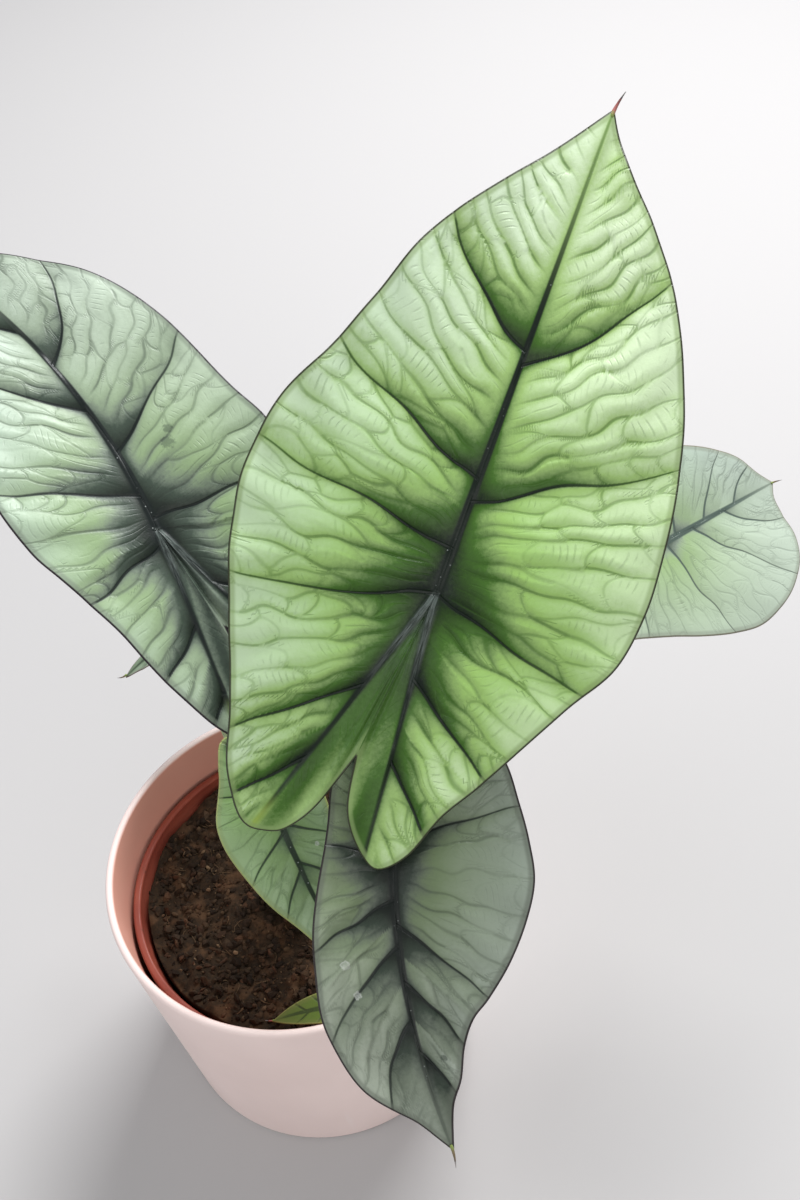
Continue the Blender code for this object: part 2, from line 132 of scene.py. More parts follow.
LOOKS = {
    "main": Looks(560, 128, (162, -175), (-0.40, -0.22, 0.0, 0.09, 0.23, 0.49),
                  (-0.34, -0.17, 0.0, 0.185, 0.46), (1.0, 0.88), 1.0, 1.0, 0.0, 1.0, 3,
                  (0.680, 0.800, 0.560), (0.345, 0.500, 0.185), (0.055, 0.140, 0.018),
                  (0.004, 0.010, 0.005), (0.040, 0.045, 0.022), (0.30, 0.40, 0.22)),
    "left": Looks(500, 108, (178, -159), (-0.46, -0.27, -0.04, 0.10, 0.37, 0.66),
                  (-0.44, -0.20, 0.03, 0.23, 0.53), (0.82, 0.82), 0.82, 0.75, 0.02, 0.85, 5,
                  (0.500, 0.580, 0.480), (0.270, 0.325, 0.250), (0.050, 0.070, 0.052),
                  (0.007, 0.011, 0.010), (0.018, 0.012, 0.016), (0.28, 0.36, 0.26)),
    "lower": Looks(440, 88, (166, -166), (-0.38, -0.05, 0.22, 0.42, 0.66),
                   (-0.36, 0.0, 0.13, 0.29, 0.55), (0.74, 0.74), 1.25, 0.50, 0.02, 0.92, 7,
                   (0.320, 0.355, 0.290), (0.155, 0.182, 0.138), (0.030, 0.042, 0.030),
                   (0.007, 0.010, 0.008), (0.026, 0.020, 0.020), (0.20, 0.26, 0.18)),
    "small": Looks(340, 64, (166, -166), (-0.34, -0.05, 0.16, 0.38, 0.62),
                   (-0.34, -0.02, 0.20, 0.42, 0.66), (0.8, 0.8), 0.8, 0.55, 0.03, 0.5, 11,
                   (0.330, 0.430, 0.265), (0.170, 0.245, 0.115), (0.040, 0.080, 0.030),
                   (0.012, 0.026, 0.010), (0.300, 0.350, 0.120), (0.27, 0.36, 0.20)),
    "right": Looks(360, 68, (164, -164), (-0.42, -0.10, 0.12, 0.34, 0.60),
                   (-0.44, -0.16, 0.04, 0.24, 0.50), (0.8, 0.8), 0.6, 0.45, 0.05, 0.40, 13,
                   (0.430, 0.500, 0.415), (0.300, 0.355, 0.285), (0.110, 0.140, 0.110),
                   (0.075, 0.105, 0.088), (0.200, 0.190, 0.140), (0.36, 0.44, 0.33)),
    "back": Looks(320, 60, (165, -165), (-0.34, -0.04, 0.18, 0.40, 0.64),
                  (-0.34, 0.0, 0.22, 0.44, 0.68), (0.8, 0.8), 0.8, 0.6, 0.04, 0.6, 17,
                  (0.330, 0.420, 0.300), (0.180, 0.255, 0.150), (0.042, 0.075, 0.042),
                  (0.010, 0.015, 0.011), (0.120, 0.090, 0.070), (0.28, 0.35, 0.25)),
    "young": Looks(200, 32, (166, -166), (-0.3, 0.0, 0.2, 0.45), (-0.3, 0.0, 0.25, 0.5),
                   (0.75, 0.75), 0.2, 0.1, 0.0, 0.12, 19,
                   (0.100, 0.140, 0.028), (0.080, 0.112, 0.022), (0.055, 0.080, 0.018),
                   (0.036, 0.054, 0.014), (0.190, 0.200, 0.060), (0.12, 0.15, 0.04)),
}

# Small marks: where on the flat blade, how wide, in mm, and whether dried water or a healed scar.
MARKS = {
    "left": ((22, -14, 2.4, "scar"), (26, -16, 1.6, "scar")),
    "lower": ((27, -15, 1.5, "pale"), (35, -13, 1.3, "pale"), (52, 6, 1.2, "scar")),
    "small": ((20, 9, 0.9, "pale"),),
    "back": ((30, -8, 1.2, "scar"),),
}

# Angle from the midrib at which a side vein leaves, and how much it turns over one reach, both in
# degrees, against the share of the blade's reach at which it starts.
VEIN_START = (-0.60, -0.22, 0.00, 0.09, 0.23, 0.49, 0.80, 1.00)
VEIN_ANGLE = (146, 130, 112, 78, 68, 63, 52, 42)
VEIN_TURN = (-10, -15, -50, 12, -16, -98, -135, -140)
LANE_WIDTH = 7.2 * MM           # between neighbouring side veins, half way out on the biggest blade
RUNG_LENGTH = 6.0 * MM          # the same in the lanes beside the main veins
CELL_LENGTH = 15.0 * MM         # between cross links of the net, along the side veins
WEB_SPACING = 2.1 * MM          # between the finest veins, which cross each mesh of the net
FULL_REACH = 139 * MM           # the biggest blade's
JOINT_DROP = 2.6 * MM           # of its skin at the joint, where the creases meet
MAIN_DROP = 2.05 * MM           # of the skin into a main vein
NET_DROP = 0.90 * MM            # into a line of the net, at full strength
SPINE_SLOPE = 5.5 * MM          # width over which the skin climbs out of the midrib's crease
NEAREST_MESHES = 6              # of the net that a point is compared with
MESH_FLATTEN = 0.22             # weight of lengths along the veins when meshes are compared
RIM_HALF = 0.22 * MM            # half a blade's thickness at its rim


def tip_reach(leaf):
    """From a blade's joint to its tip."""
    return leaf.left[0][1] * MM


def relief_scale(leaf):
    """How much smaller than the biggest blade's the relief of a blade is."""
    return (tip_reach(leaf) / FULL_REACH) ** 0.5


def outline_side(points, steps):
    """A Catmull-Rom curve through polar points, sampled at even steps of its length."""
    angle, reach = np.radians([p[0] for p in points]), np.array([p[1] for p in points]) * MM
    knots = np.stack((reach * np.cos(angle), reach * np.sin(angle)), axis=1)
    knots = np.concatenate((2 * knots[:1] - knots[1:2], knots, 2 * knots[-1:] - knots[-2:-1]))
    t = np.linspace(0, 1, 24, endpoint=False)[:, None]
    spans = []
    for a, b, c, d in zip(knots[:-3], knots[1:-2], knots[2:-1], knots[3:]):
        spans.append(b + 0.5 * t * (c - a + t * (2 * a - 5 * b + 4 * c - d
                                                + t * (3 * b - a - 3 * c + d))))
    curve = np.concatenate(spans + [knots[-2:-1]])
    length = np.concatenate(((0,), np.cumsum(np.linalg.norm(np.diff(curve, axis=0), axis=1))))
    even = np.linspace(0, length[-1], steps + 1)
    return np.stack([np.interp(even, length, curve[:, k]) for k in (0, 1)], axis=1)


def leaf_axes(leaf):
    """Unit vectors along the midrib, to its left and out of the blade's upper face."""
    heading, pitch, roll = np.radians((leaf.heading, leaf.pitch, leaf.roll))
    along = np.array((math.cos(pitch) * math.cos(heading), math.cos(pitch) * math.sin(heading),
                      math.sin(pitch)))
    level = np.array((-math.sin(heading), math.cos(heading), 0.0))
    side = level * math.cos(roll) + np.cross(along, level) * math.sin(roll)
    return along, side, np.cross(along, side)


def blade_point(leaf, u, v):
    """Flat blade coordinates in space: u runs along the midrib, which is bent on an arc that drops
    to the tip and to the lobes and sweeps to the left, and v runs across, lifted by the V fold
    less the curl."""
    along, side, up = leaf_axes(leaf)
    bend = np.where(u >= 0, 1 / (leaf.bend * MM), 1 / (leaf.lobe_bend * MM))
    lift = math.tan(math.radians(leaf.fold)) * (np.sqrt(v * v + CREASE_WIDTH ** 2) - CREASE_WIDTH)
    lift = lift - leaf.curl / MM * v * v
    rise = (1 - np.cos(bend * u)) / bend
    spot = np.array(leaf.joint) * MM + np.multiply.outer(np.sin(bend * u) / bend, along)
    swept = v + leaf.sweep / MM * np.maximum(u, 0) ** 2
    spot = spot - np.multiply.outer(rise, up) + np.multiply.outer(swept, side)
    return spot + np.multiply.outer(lift * np.cos(bend * u), up) \
        + np.multiply.outer(lift * np.sin(bend * u), along)


def blade_normal(leaf, u, v):
    """Unit normals: the cross product of the surface's two slopes, from small steps in u and v."""
    step = 0.2 * MM
    across_u = blade_point(leaf, u + step, v) - blade_point(leaf, u - step, v)
    across_v = blade_point(leaf, u, v + step) - blade_point(leaf, u, v - step)
    normal = np.cross(across_u, across_v)
    return normal / np.linalg.norm(normal, axis=1, keepdims=True)


# ---------------------------------------------------------------------------------------------
# Number tools
# ---------------------------------------------------------------------------------------------

def ripple(x, y, seed, waves=7):
    """Smooth random height between about -1 and 1: a sum of sines whose directions, lengths and
    phases come from the seed. One unit of x or y is about one bump."""
    draw = np.random.default_rng(seed)
    total = np.zeros(np.broadcast(x, y).shape)
    for _ in range(waves):
        direction, pitch, phase = draw.uniform(0, TAU), draw.uniform(2.4, 5.2), draw.uniform(0, TAU)
        total += np.sin(pitch * (x * math.cos(direction) + y * math.sin(direction)) + phase)
    return total / math.sqrt(waves * 1.4)


def chance(a, b):
    """A repeatable number between 0 and 1 for each pair of whole numbers."""
    return np.modf(np.abs(np.sin(a * 12.9898 + b * 78.233) * 43758.5453))[0]


def ease(x, low, high):
    """0 below low, 1 above high, and a smooth S between them."""
    t = np.clip((x - low) / (high - low), 0, 1)
    return t * t * (3 - 2 * t)


# ---------------------------------------------------------------------------------------------
# Veins
# ---------------------------------------------------------------------------------------------

Half = namedtuple("Half", "reach rib lean mains seed")


def vein_heading(half, start):
    """First angle and turn for each metre, in radians, of the side vein from a place on the spine."""
    share = start / half.reach
    angle = np.radians(np.interp(share, VEIN_START, VEIN_ANGLE))
    lean = half.lean + (1 - half.lean) * np.exp(-np.maximum(share, 0) / 0.08)
    turn = np.radians(np.interp(share, VEIN_START, VEIN_TURN)) / half.reach
    return np.where(share > 0, angle * lean, angle), turn


def vein_point(half, start, out):
    """The point a distance out along the side vein that starts at a place on the spine. The spine
    is the midrib for positive starts and the lobe's rib for negative ones, and v is taken positive.
    A vein is an arc, so its chord turns by half of what the vein does."""
    angle, turn = vein_heading(half, start)
    chord = angle + turn * out / 2
    back = np.maximum(-start, 0)
    u = np.maximum(start, 0) + back * math.cos(half.rib) + out * np.cos(chord)
    return u, back * math.sin(half.rib) + out * np.sin(chord)


def vein_coordinates(half, u, v):
    """For flat points with positive v, the start and length of the side vein through each, found
    with Newton steps, and the spacing there of veins whose starts are one apart."""
    tiny = 0.05 * MM
    start = u - v * 0.35
    out = np.maximum(v - np.maximum(-start, 0) * math.sin(half.rib), 0) + tiny
    for _ in range(30):
        pu, pv = vein_point(half, start, out)
        au, av = vein_point(half, start + tiny, out)
        bu, bv = vein_point(half, start, out + tiny)
        su, sv, ou, ov = (au - pu) / tiny, (av - pv) / tiny, (bu - pu) / tiny, (bv - pv) / tiny
        det = su * ov - sv * ou
        det = np.where(np.abs(det) < 0.05, 0.05 * np.where(det < 0, -1, 1), det)
        du, dv = u - pu, v - pv
        start = start + np.clip((ov * du - ou * dv) / det, -6 * MM, 6 * MM)
        out = out + np.clip((su * dv - sv * du) / det, -6 * MM, 6 * MM)
    return start, out, np.clip(np.abs(det), 0.1, 4)


def net_seeds(half, size, half_width):
    """The middles of the net's meshes. Between two main veins they stand in lanes about one lane
    width apart and, along each lane, a mesh length apart, staggered and scattered. Where lanes crowd
    together near the spine only every few of them holds meshes."""
    draw = np.random.default_rng(half.seed)
    ends = [half.mains[0] - 0.20] + list(half.mains) + [1.05]
    seeds = []
    for number, (low, high) in enumerate(zip(ends[:-1], ends[1:])):
        out = half_width * 0.5 * min(1.0, 1.35 - max(low, 0))
        a, b = (np.array(vein_point(half, np.array(e * half.reach), np.array(out)))
                for e in (low, high))
        lanes = max(1, round(float(np.linalg.norm(b - a)) / (LANE_WIDTH * size)))
        for lane in range(lanes):
            ladder = lanes > 2 and lane in (0, lanes - 1)
            length = (RUNG_LENGTH if ladder else CELL_LENGTH) * size
            steps = int(1.5 * half_width / length) + 1
            stagger = 0.5 * (lane % 2) + 0.3
            place = (np.arange(steps) + stagger + draw.uniform(-0.26, 0.26, steps)) * length
            share = (lane + 0.5 + draw.uniform(-0.17, 0.17, steps)) / lanes
            start = (low + (high - low) * share) * half.reach
            width = (high - low) * half.reach / lanes
            crowd = math.ceil(0.7 * LANE_WIDTH * size / width)
            crowd = np.where(place < CELL_LENGTH * size, crowd,
                             np.where(place < 2 * CELL_LENGTH * size, (crowd + 1) // 2, 1))
            keep = (place > 0) & (lane % crowd == crowd // 2)
            u, v = vein_point(half, start[keep], np.maximum(place[keep], 0))
            seeds.append(np.stack((u, v, np.full(len(u), number), np.full(len(u), lane),
                                   place[keep], np.full(len(u), ladder)), axis=1))
    return np.concatenate(seeds)


def net_fields(u, v, heading, lane, seeds):
    """The net of side veins at flat points. A mesh of the net holds the points nearest its middle
    when lengths along the veins count less than lengths across, and no mesh crosses a main vein.
    Gives the distance to the nearest border, positive on its side towards the tip, its strength,
    how deep and how dark the skin is there, the dark reaching further on each line's tipward side as
    painted shade, and the point's place in its mesh."""
    count = len(u)
    fields = dict(side=np.full(count, 50 * MM), strength=np.zeros(count), dip=np.zeros(count),
                  dark=np.zeros(count), mesh=np.full(count, -1), along=np.zeros(count),
                  across=np.zeros(count), streaked=np.zeros(count, bool))
    for number in np.unique(lane):
        members = np.flatnonzero(seeds[:, 2] == number)
        closest = min(NEAREST_MESHES, len(members))
        for block in np.array_split(np.flatnonzero(lane == number), 12):
            if not len(block) or closest < 2:
                continue
            cosine, sine = np.cos(heading[block])[:, None], np.sin(heading[block])[:, None]
            du = u[block][:, None] - seeds[members, 0]
            dv = v[block][:, None] - seeds[members, 1]
            a = (du * cosine + dv * sine) * MESH_FLATTEN
            c = dv * cosine - du * sine
            distance = a * a + c * c
            order = np.argsort(distance, axis=1)[:, :closest]
            a, c, distance = (np.take_along_axis(x, order, axis=1) for x in (a, c, distance))
            slope = 2 * np.hypot((a[:, :1] - a[:, 1:]) * MESH_FLATTEN, c[:, :1] - c[:, 1:])
            gap = (distance[:, 1:] - distance[:, :1]) / np.maximum(slope, 1e-9)
            near, far = members[order[:, :1]], members[order[:, 1:]]
            tipward = c[:, :1] > c[:, 1:]
            random = chance(np.minimum(near, far) + 1.0, np.maximum(near, far) + 5.0)
            link = seeds[near, 3] == seeds[far, 3]
            rung = link & (seeds[near, 5] > 0) & (seeds[near, 4] > 9 * MM)
            strength = np.where(link, 0.06 + 0.50 * random, 0.30 + 0.75 * random)
            strength = np.where(rung, 0.25 + 0.50 * random, strength)
            soft = np.hypot(gap, 0.35 * MM) - 0.35 * MM
            dip = strength * np.exp(-soft / np.where(tipward, 1.5 * MM, 3.0 * MM))
            # Painted shade: the dark reaches further on a line's tipward side, where its slope faces
            # away from the light.
            dark = strength * np.exp(-soft / np.where(tipward, 1.7 * MM, 0.6 * MM))
            rows, best = np.arange(len(block)), np.argmin(gap, axis=1)
            fields["side"][block] = np.where(tipward, gap, -gap)[rows, best]
            fields["strength"][block] = strength[rows, best]
            fields["dip"][block] = dip.max(axis=1)
            fields["dark"][block] = dark.max(axis=1)
            fields["mesh"][block] = near[:, 0]
            fields["along"][block], fields["across"][block] = a[:, 0] / MESH_FLATTEN, c[:, 0]
            wide = ease(seeds[near[:, 0], 4], 8 * MM, 26 * MM)
            fields["streaked"][block] = chance(near[:, 0] + 3.0, 2.0) + wide < 0.9
    return fields


def half_fields(leaf, half, u, v):
    """Vein fields on one half of a blade, with v positive: signed distances to the main veins and to
    the net between them, and the count of finest veins crossed inside a mesh."""
    size = (half.reach / FULL_REACH) ** 0.35
    half_width = max(p[1] * abs(math.sin(math.radians(p[0]))) for p in leaf.left + leaf.right) * MM
    calm = np.clip(v / (7 * MM), 0, 1)
    bend_u = 0.85 * MM * size * calm * ripple(u / (12 * MM * size), v / (14 * MM * size), half.seed)
    start, out, spread = vein_coordinates(half, u + bend_u, v)
    mains = np.array(half.mains) * half.reach
    upper = np.clip(np.searchsorted(mains, start), 1, len(mains) - 1)
    main = np.where(start - mains[upper - 1] < mains[upper] - start, start - mains[upper - 1],
                    start - mains[upper]) * spread
    angle, turn = vein_heading(half, start)
    wobble, across = 0.9 * MM * size * calm, 9 * MM * size
    net_u = u + wobble * ripple(u / across, v / across, half.seed + 1)
    net_v = v + wobble * ripple(u / across, v / across, half.seed + 2)
    fields = net_fields(net_u, net_v, angle + turn * out, np.searchsorted(mains, start),
                        net_seeds(half, size, half_width))
    tilt = 2 * chance(fields["mesh"] + 2.0, 1.0) - 0.6
    bow = fields["along"] + tilt * 0.45 * fields["across"] \
        + (0.02 + 0.06 * chance(fields["mesh"] + 0.0, 4.0)) * fields["across"] ** 2 / MM
    sideways = fields["across"] + 0.10 * fields["along"]
    bow = np.where(fields["streaked"], sideways, bow)
    bow = bow + 0.25 * MM * ripple(u / (6 * MM), v / (6 * MM), half.seed + 3)
    fields.update(out=out, inner=out < 0, start=start, main=main,
                  web=bow / (WEB_SPACING * size) + 200)
    return fields


def blade_fields(leaf, look, u, v):
    """All vein fields of a blade at flat points, with both halves put together."""
    left = v >= 0
    fields = {}
    reach = tip_reach(leaf)
    left_rib, right_rib = math.radians(look.ribs[0]), math.radians(-look.ribs[1])
    halves = ((left, Half(reach, left_rib, look.leans[0], look.veins_left, look.seed)),
              (~left, Half(reach, right_rib, look.leans[1], look.veins_right, look.seed + 40)))
    for chosen, half in halves:
        part = half_fields(leaf, half, u[chosen], np.abs(v[chosen]))
        for key, values in part.items():
            fields.setdefault(key, np.zeros(len(u), dtype=values.dtype))[chosen] = values
    fields["midrib"] = np.where(u > 0, np.abs(v), np.hypot(u, v))
    ribs = []
    for rib in np.radians(look.ribs):
        along = u * math.cos(rib) + v * math.sin(rib)
        off = np.abs(v * math.cos(rib) - u * math.sin(rib))
        ribs.append(np.where(along > 0, off, np.hypot(u, v)))
    fields["rib"] = np.minimum(*ribs)
    fields["spine"] = np.minimum(fields["midrib"], fields["rib"])
    return fields


# ---------------------------------------------------------------------------------------------
# Meshes
# ---------------------------------------------------------------------------------------------

TURNED_STEPS = 256


def make_mesh(name, points, quads, triangles=None):
    """A smooth mesh from arrays of points, four-corner faces and three-corner faces."""
    triangles = np.zeros((0, 3), int) if triangles is None else triangles
    mesh = bpy.data.meshes.new(name)
    mesh.vertices.add(len(points))
    mesh.vertices.foreach_set("co", np.asarray(points, np.float32).ravel())
    corners = np.concatenate((quads.ravel(), triangles.ravel())).astype(np.int32)
    starts = np.concatenate((np.arange(len(quads)) * 4,
                             len(quads) * 4 + np.arange(len(triangles)) * 3)).astype(np.int32)
    mesh.loops.add(len(corners))
    mesh.loops.foreach_set("vertex_index", corners)
    mesh.polygons.add(len(starts))
    mesh.polygons.foreach_set("loop_start", starts)
    mesh.update(calc_edges=True)
    mesh.validate()
    mesh.shade_smooth()
    return mesh


def give(mesh, name, columns):
    """Stores three numbers a point as an attribute for the materials to read."""
    values = np.stack([np.broadcast_to(c, len(mesh.vertices)) for c in columns], axis=1)
    made = mesh.attributes.new(name, "FLOAT_VECTOR", "POINT")
    made.data.foreach_set("vector", values.astype(np.float32).ravel())


def add_piece(name, mesh, material, node):
    """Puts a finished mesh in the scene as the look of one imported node."""
    piece = bpy.data.objects.new(name, mesh)
    mesh.materials.append(material)
    bpy.context.collection.objects.link(piece)
    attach(piece, "root")
    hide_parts(node)
    return piece


def grid_quads(rows, columns):
    """Four-corner faces of a grid whose rows are closed rings."""
    i, j = np.meshgrid(np.arange(rows - 1), np.arange(columns), indexing="ij")
    k = (j + 1) % columns
    a, b = i * columns, (i + 1) * columns
    return np.stack((a + j, b + j, b + k, a + k), axis=-1).reshape(-1, 4)


def closing_fans(total, rows, columns):
    """Three-corner faces that close the first and the last ring of a grid with the last two of all
    its points."""
    around = np.arange(columns)
    after = (around + 1) % columns
    last = (rows - 1) * columns
    return np.concatenate((
        np.stack((np.full(columns, total - 2), after, around), axis=1),
        np.stack((np.full(columns, total - 1), last + around, last + after), axis=1)))


def turned_mesh(name, profile, steps=TURNED_STEPS):
    """A closed turned shape. The profile's (r, z) points run from the axis to the axis, up the
    outside and down the inside, and are carried round Z on rings."""
    r, z = np.array(profile[1:-1]).T
    angle = np.arange(steps) * TAU / steps
    rings = np.stack((np.outer(r, np.cos(angle)), np.outer(r, np.sin(angle)),
                      np.repeat(z[:, None], steps, axis=1)), axis=-1)
    poles = np.array(((0, 0, profile[0][1]), (0, 0, profile[-1][1])))
    points = np.concatenate((rings.reshape(-1, 3), poles))
    return make_mesh(name, points, grid_quads(len(r), steps)[:, ::-1],
                     closing_fans(len(points), len(r), steps))


def arc(centre, radius, start, end, steps=10):
    """Points (r, z) on an arc about a centre, from one angle to another in degrees."""
    angle = np.radians(np.linspace(start, end, steps + 1))
    return list(zip(centre[0] + radius * np.cos(angle), centre[1] + radius * np.sin(angle)))


def run(start, end, steps):
    """Points (r, z) along a straight run, without its two ends."""
    share = np.linspace(0, 1, steps + 2)[1:-1]
    return [(start[0] + (end[0] - start[0]) * t, start[1] + (end[1] - start[1]) * t) for t in share]


def tube_mesh(name, path, radius, sides, wobble=None):
    """A closed tube: rings of a given radius, square to the path, with frames carried along it
    without twist, and a rounded cap at each end. The wobble scales the radius by ring and side."""
    tangent = np.gradient(path, axis=0)
    tangent /= np.linalg.norm(tangent, axis=1, keepdims=True)
    frame_x = np.zeros_like(path)
    reference = np.array((1.0, 0.0, 0.0))
    for number, direction in enumerate(tangent):
        reference = reference - direction * reference.dot(direction)
        reference = reference / np.linalg.norm(reference)
        frame_x[number] = reference
    frame_y = np.cross(tangent, frame_x)
    angle = np.arange(sides) * TAU / sides
    scale = radius[:, None] * (1 if wobble is None else wobble)
    rings = path[:, None] + scale[..., None] * (frame_x[:, None] * np.cos(angle)[None, :, None]
                                                + frame_y[:, None] * np.sin(angle)[None, :, None])
    points = np.concatenate((rings.reshape(-1, 3), path[:1], path[-1:]))
    return make_mesh(name, points, grid_quads(len(path), sides)[:, ::-1],
                     closing_fans(len(points), len(path), sides))


# ---------------------------------------------------------------------------------------------
# Blades
# ---------------------------------------------------------------------------------------------

def blade_heights(leaf, look, u, v, margin, round_place, fields):
    """How far the quilted upper face stands off the smooth blade. It drops into every vein on a
    slope that eases out with distance, steeper on the side towards the tip, deep along the midrib
    and the main veins and shallow along the net. It calms down in a smooth band along the margin,
    and the margin waves gently."""
    reach = tip_reach(leaf)
    main = np.hypot(fields["main"], 0.4 * MM) - 0.4 * MM
    main_slope = np.where(fields["main"] > 0, 3.2 * MM, 6.0 * MM)
    open_out = ease(fields["out"], 0, 8 * MM)
    end = ease(margin, 1.2 * MM, 7 * MM)
    calmer = 1 - 0.35 * ease(u / reach, 0.45, 0.95) - 0.20 * ease(fields["out"] / reach, 0.15, 0.45)
    drop = MAIN_DROP * np.exp(-main / main_slope) * (0.35 + 0.65 * end)
    drop = drop + NET_DROP * look.net * fields["dip"] * calmer \
        * (1 - 0.5 * np.exp(-main / (2.5 * MM))) * open_out * end
    drop = np.where(fields["inner"], 0.0, drop)
    ahead, behind = np.maximum(u, 0), np.minimum(u, 0)
    spine = np.where(u < 0, np.exp(-fields["spine"] / SPINE_SLOPE) * np.exp(behind / (45 * MM)),
                     np.exp(-fields["midrib"] / SPINE_SLOPE) * np.exp(-ahead / (80 * MM)))
    cord = 0.55 * MM * np.exp(-(fields["midrib"] / (0.9 * MM)) ** 2) * (u > 0) \
        * np.exp(-ahead / (70 * MM))
    ridge = 1.1 * MM * np.exp(-(fields["rib"] / (1.0 * MM)) ** 2) * ease(-u, -1 * MM, 3 * MM) \
        * np.exp(u / (26 * MM))
    height = cord + ridge - np.cbrt(drop ** 3 + (JOINT_DROP * spine) ** 3)
    folds = 0.30 * MM * ripple(u / (24 * MM), v / (5 * MM), 51)
    swells = 0.55 * MM * ripple(u / (22 * MM), v / (20 * MM), look.seed + 9)
    height = height + np.where(fields["inner"], folds, 0)
    height = height + swells * ease(fields["spine"], 2 * MM, 14 * MM)
    wave = 0.8 * MM * ripple(round_place / (14 * MM), np.zeros(1), look.seed + 12)
    return (height + wave * ease(margin, 20 * MM, 0)) * relief_scale(leaf) * look.relief


def raised_ribs(reach, u, margin, out, fields):
    """Height of the ribs on a blade's underside, highest along the midrib near the stalk."""
    size = np.exp(-np.maximum(u, 0) / (0.8 * reach)) * (reach / FULL_REACH) ** 0.7
    midrib = 1.5 * MM * np.exp(-(fields["midrib"] / (1.5 * MM)) ** 2) * (u > -2 * MM)
    rib = 1.0 * MM * np.exp(-(fields["rib"] / (1.2 * MM)) ** 2)
    main = 0.6 * MM * np.exp(-(fields["main"] / (0.9 * MM)) ** 2) * (1 - out) * ~fields["inner"]
    return np.maximum(np.maximum(midrib, rib), main) * size * ease(margin, 0.5 * MM, 5 * MM)


def skin_shade(leaf, look, u, v, out, fields):
    """How dark the skin is, from 0 on a pillow to 1 in a vein. A halo lies along the midrib and the
    ribs, round the joint, along every main vein and along the net. On the tipward side of each main
    vein and net line the halo is wider and darker: that part is painted shade of the slope that faces
    away from the light, on top of the veins' own dark. Between the two ribs the skin is smooth and
    evenly dark."""
    reach = tip_reach(leaf)
    stem_way = np.hypot(u, v)
    clear = np.where(fields["inner"], 0.0, 1.0)
    away = np.where(u > 0, np.exp(-u / (0.62 * reach)), np.exp(u / (0.50 * reach)))
    spine = (0.80 * np.exp(-fields["spine"] / (1.6 * MM))
             + 0.80 * np.exp(-fields["spine"] / (0.050 * reach))) * away
    joint = 0.92 * np.exp(-(stem_way / (0.135 * reach)) ** 1.3)
    tipward = fields["main"] > 0
    # Painted shade: a main vein's halo is wider and darker on its tipward side, where the crease's slope
    # faces away from the light; the narrow halo on both sides is the veins' own dark.
    main_wide = np.where(tipward, 3.2 * MM + 3.5 * MM * np.exp(-out / 0.12), 1.3 * MM)
    main = clear * np.where(tipward, 1.0, 0.7) * np.exp(-np.abs(fields["main"]) / main_wide) \
        * (0.85 * np.exp(-out / 0.20) + 0.42 * np.exp(-out / 0.6))
    # The net's halo carries the painted shade on its lines' tipward sides from net_fields.
    net = clear * ease(fields["out"], 1 * MM, 9 * MM) * 0.50 * (0.4 + 0.6 * look.net) \
        * fields["dark"] * (0.38 + 0.62 * np.exp(-out / 0.25)) * (1 - 0.35 * ease(u / reach, 0.4, 0.9))
    light = 1.0
    for part in (spine, joint, main, net):
        light = light * (1 - np.clip(part * look.halo, 0, 0.97))
    smooth = (0.53 + 0.42 * np.exp(-stem_way / (0.32 * reach))) * look.halo \
        + 0.10 * ripple(u / (30 * MM), v / (4 * MM), look.seed + 5) \
        - 0.22 * ease(fields["rib"], 2 * MM, 9 * MM) * ease(stem_way, 0.2 * reach, 0.5 * reach)
    return np.where(fields["inner"], np.maximum(1 - light, smooth), 1 - light)


def fine_veins(reach, u, v, margin, fields):
    """The count of finest veins crossed and how clearly they show. They fade near every other vein
    and the margin. Between the ribs they slant off the ribs instead."""
    stem_way = np.hypot(u, v)
    main_gap, side_gap = np.abs(fields["main"]), np.abs(fields["side"])
    fade = ease(side_gap, 0.9 * MM, 2.0 * MM) * ease(main_gap, 0.9 * MM, 2.2 * MM) \
        * ease(margin, 1.8 * MM, 4 * MM) * ease(fields["spine"], 1.5 * MM, 4 * MM)
    inner_fade = 0.9 * ease(fields["rib"], 0.6 * MM, 3 * MM) \
        * ease(stem_way, 0.14 * reach, 0.3 * reach) * ease(margin, 1.5 * MM, 4 * MM)
    slant = (stem_way - 1.5 * fields["rib"]) / (3.4 * MM) + 60
    return (np.where(fields["inner"], slant, fields["web"]),
            np.where(fields["inner"], inner_fade, fade))


def skin_marks(leaf, reach, u, v, fields):
    """Dried water, healed scars and the pale streak at the end of the left lobe's rib."""
    spots = dict(pale=np.zeros(len(u)), scar=np.zeros(len(u)))
    for spot_u, spot_v, radius, kind in MARKS.get(leaf.name, ()):
        gap = np.hypot(u - spot_u * MM, v - spot_v * MM) / (radius * MM)
        spots[kind] += np.exp(-gap ** 4)
    streak = np.exp(-(fields["rib"] / (0.9 * MM)) ** 2) * (v > 0) \
        * ease(-u, 0.46 * reach, 0.54 * reach)
    return spots["pale"], spots["scar"], streak


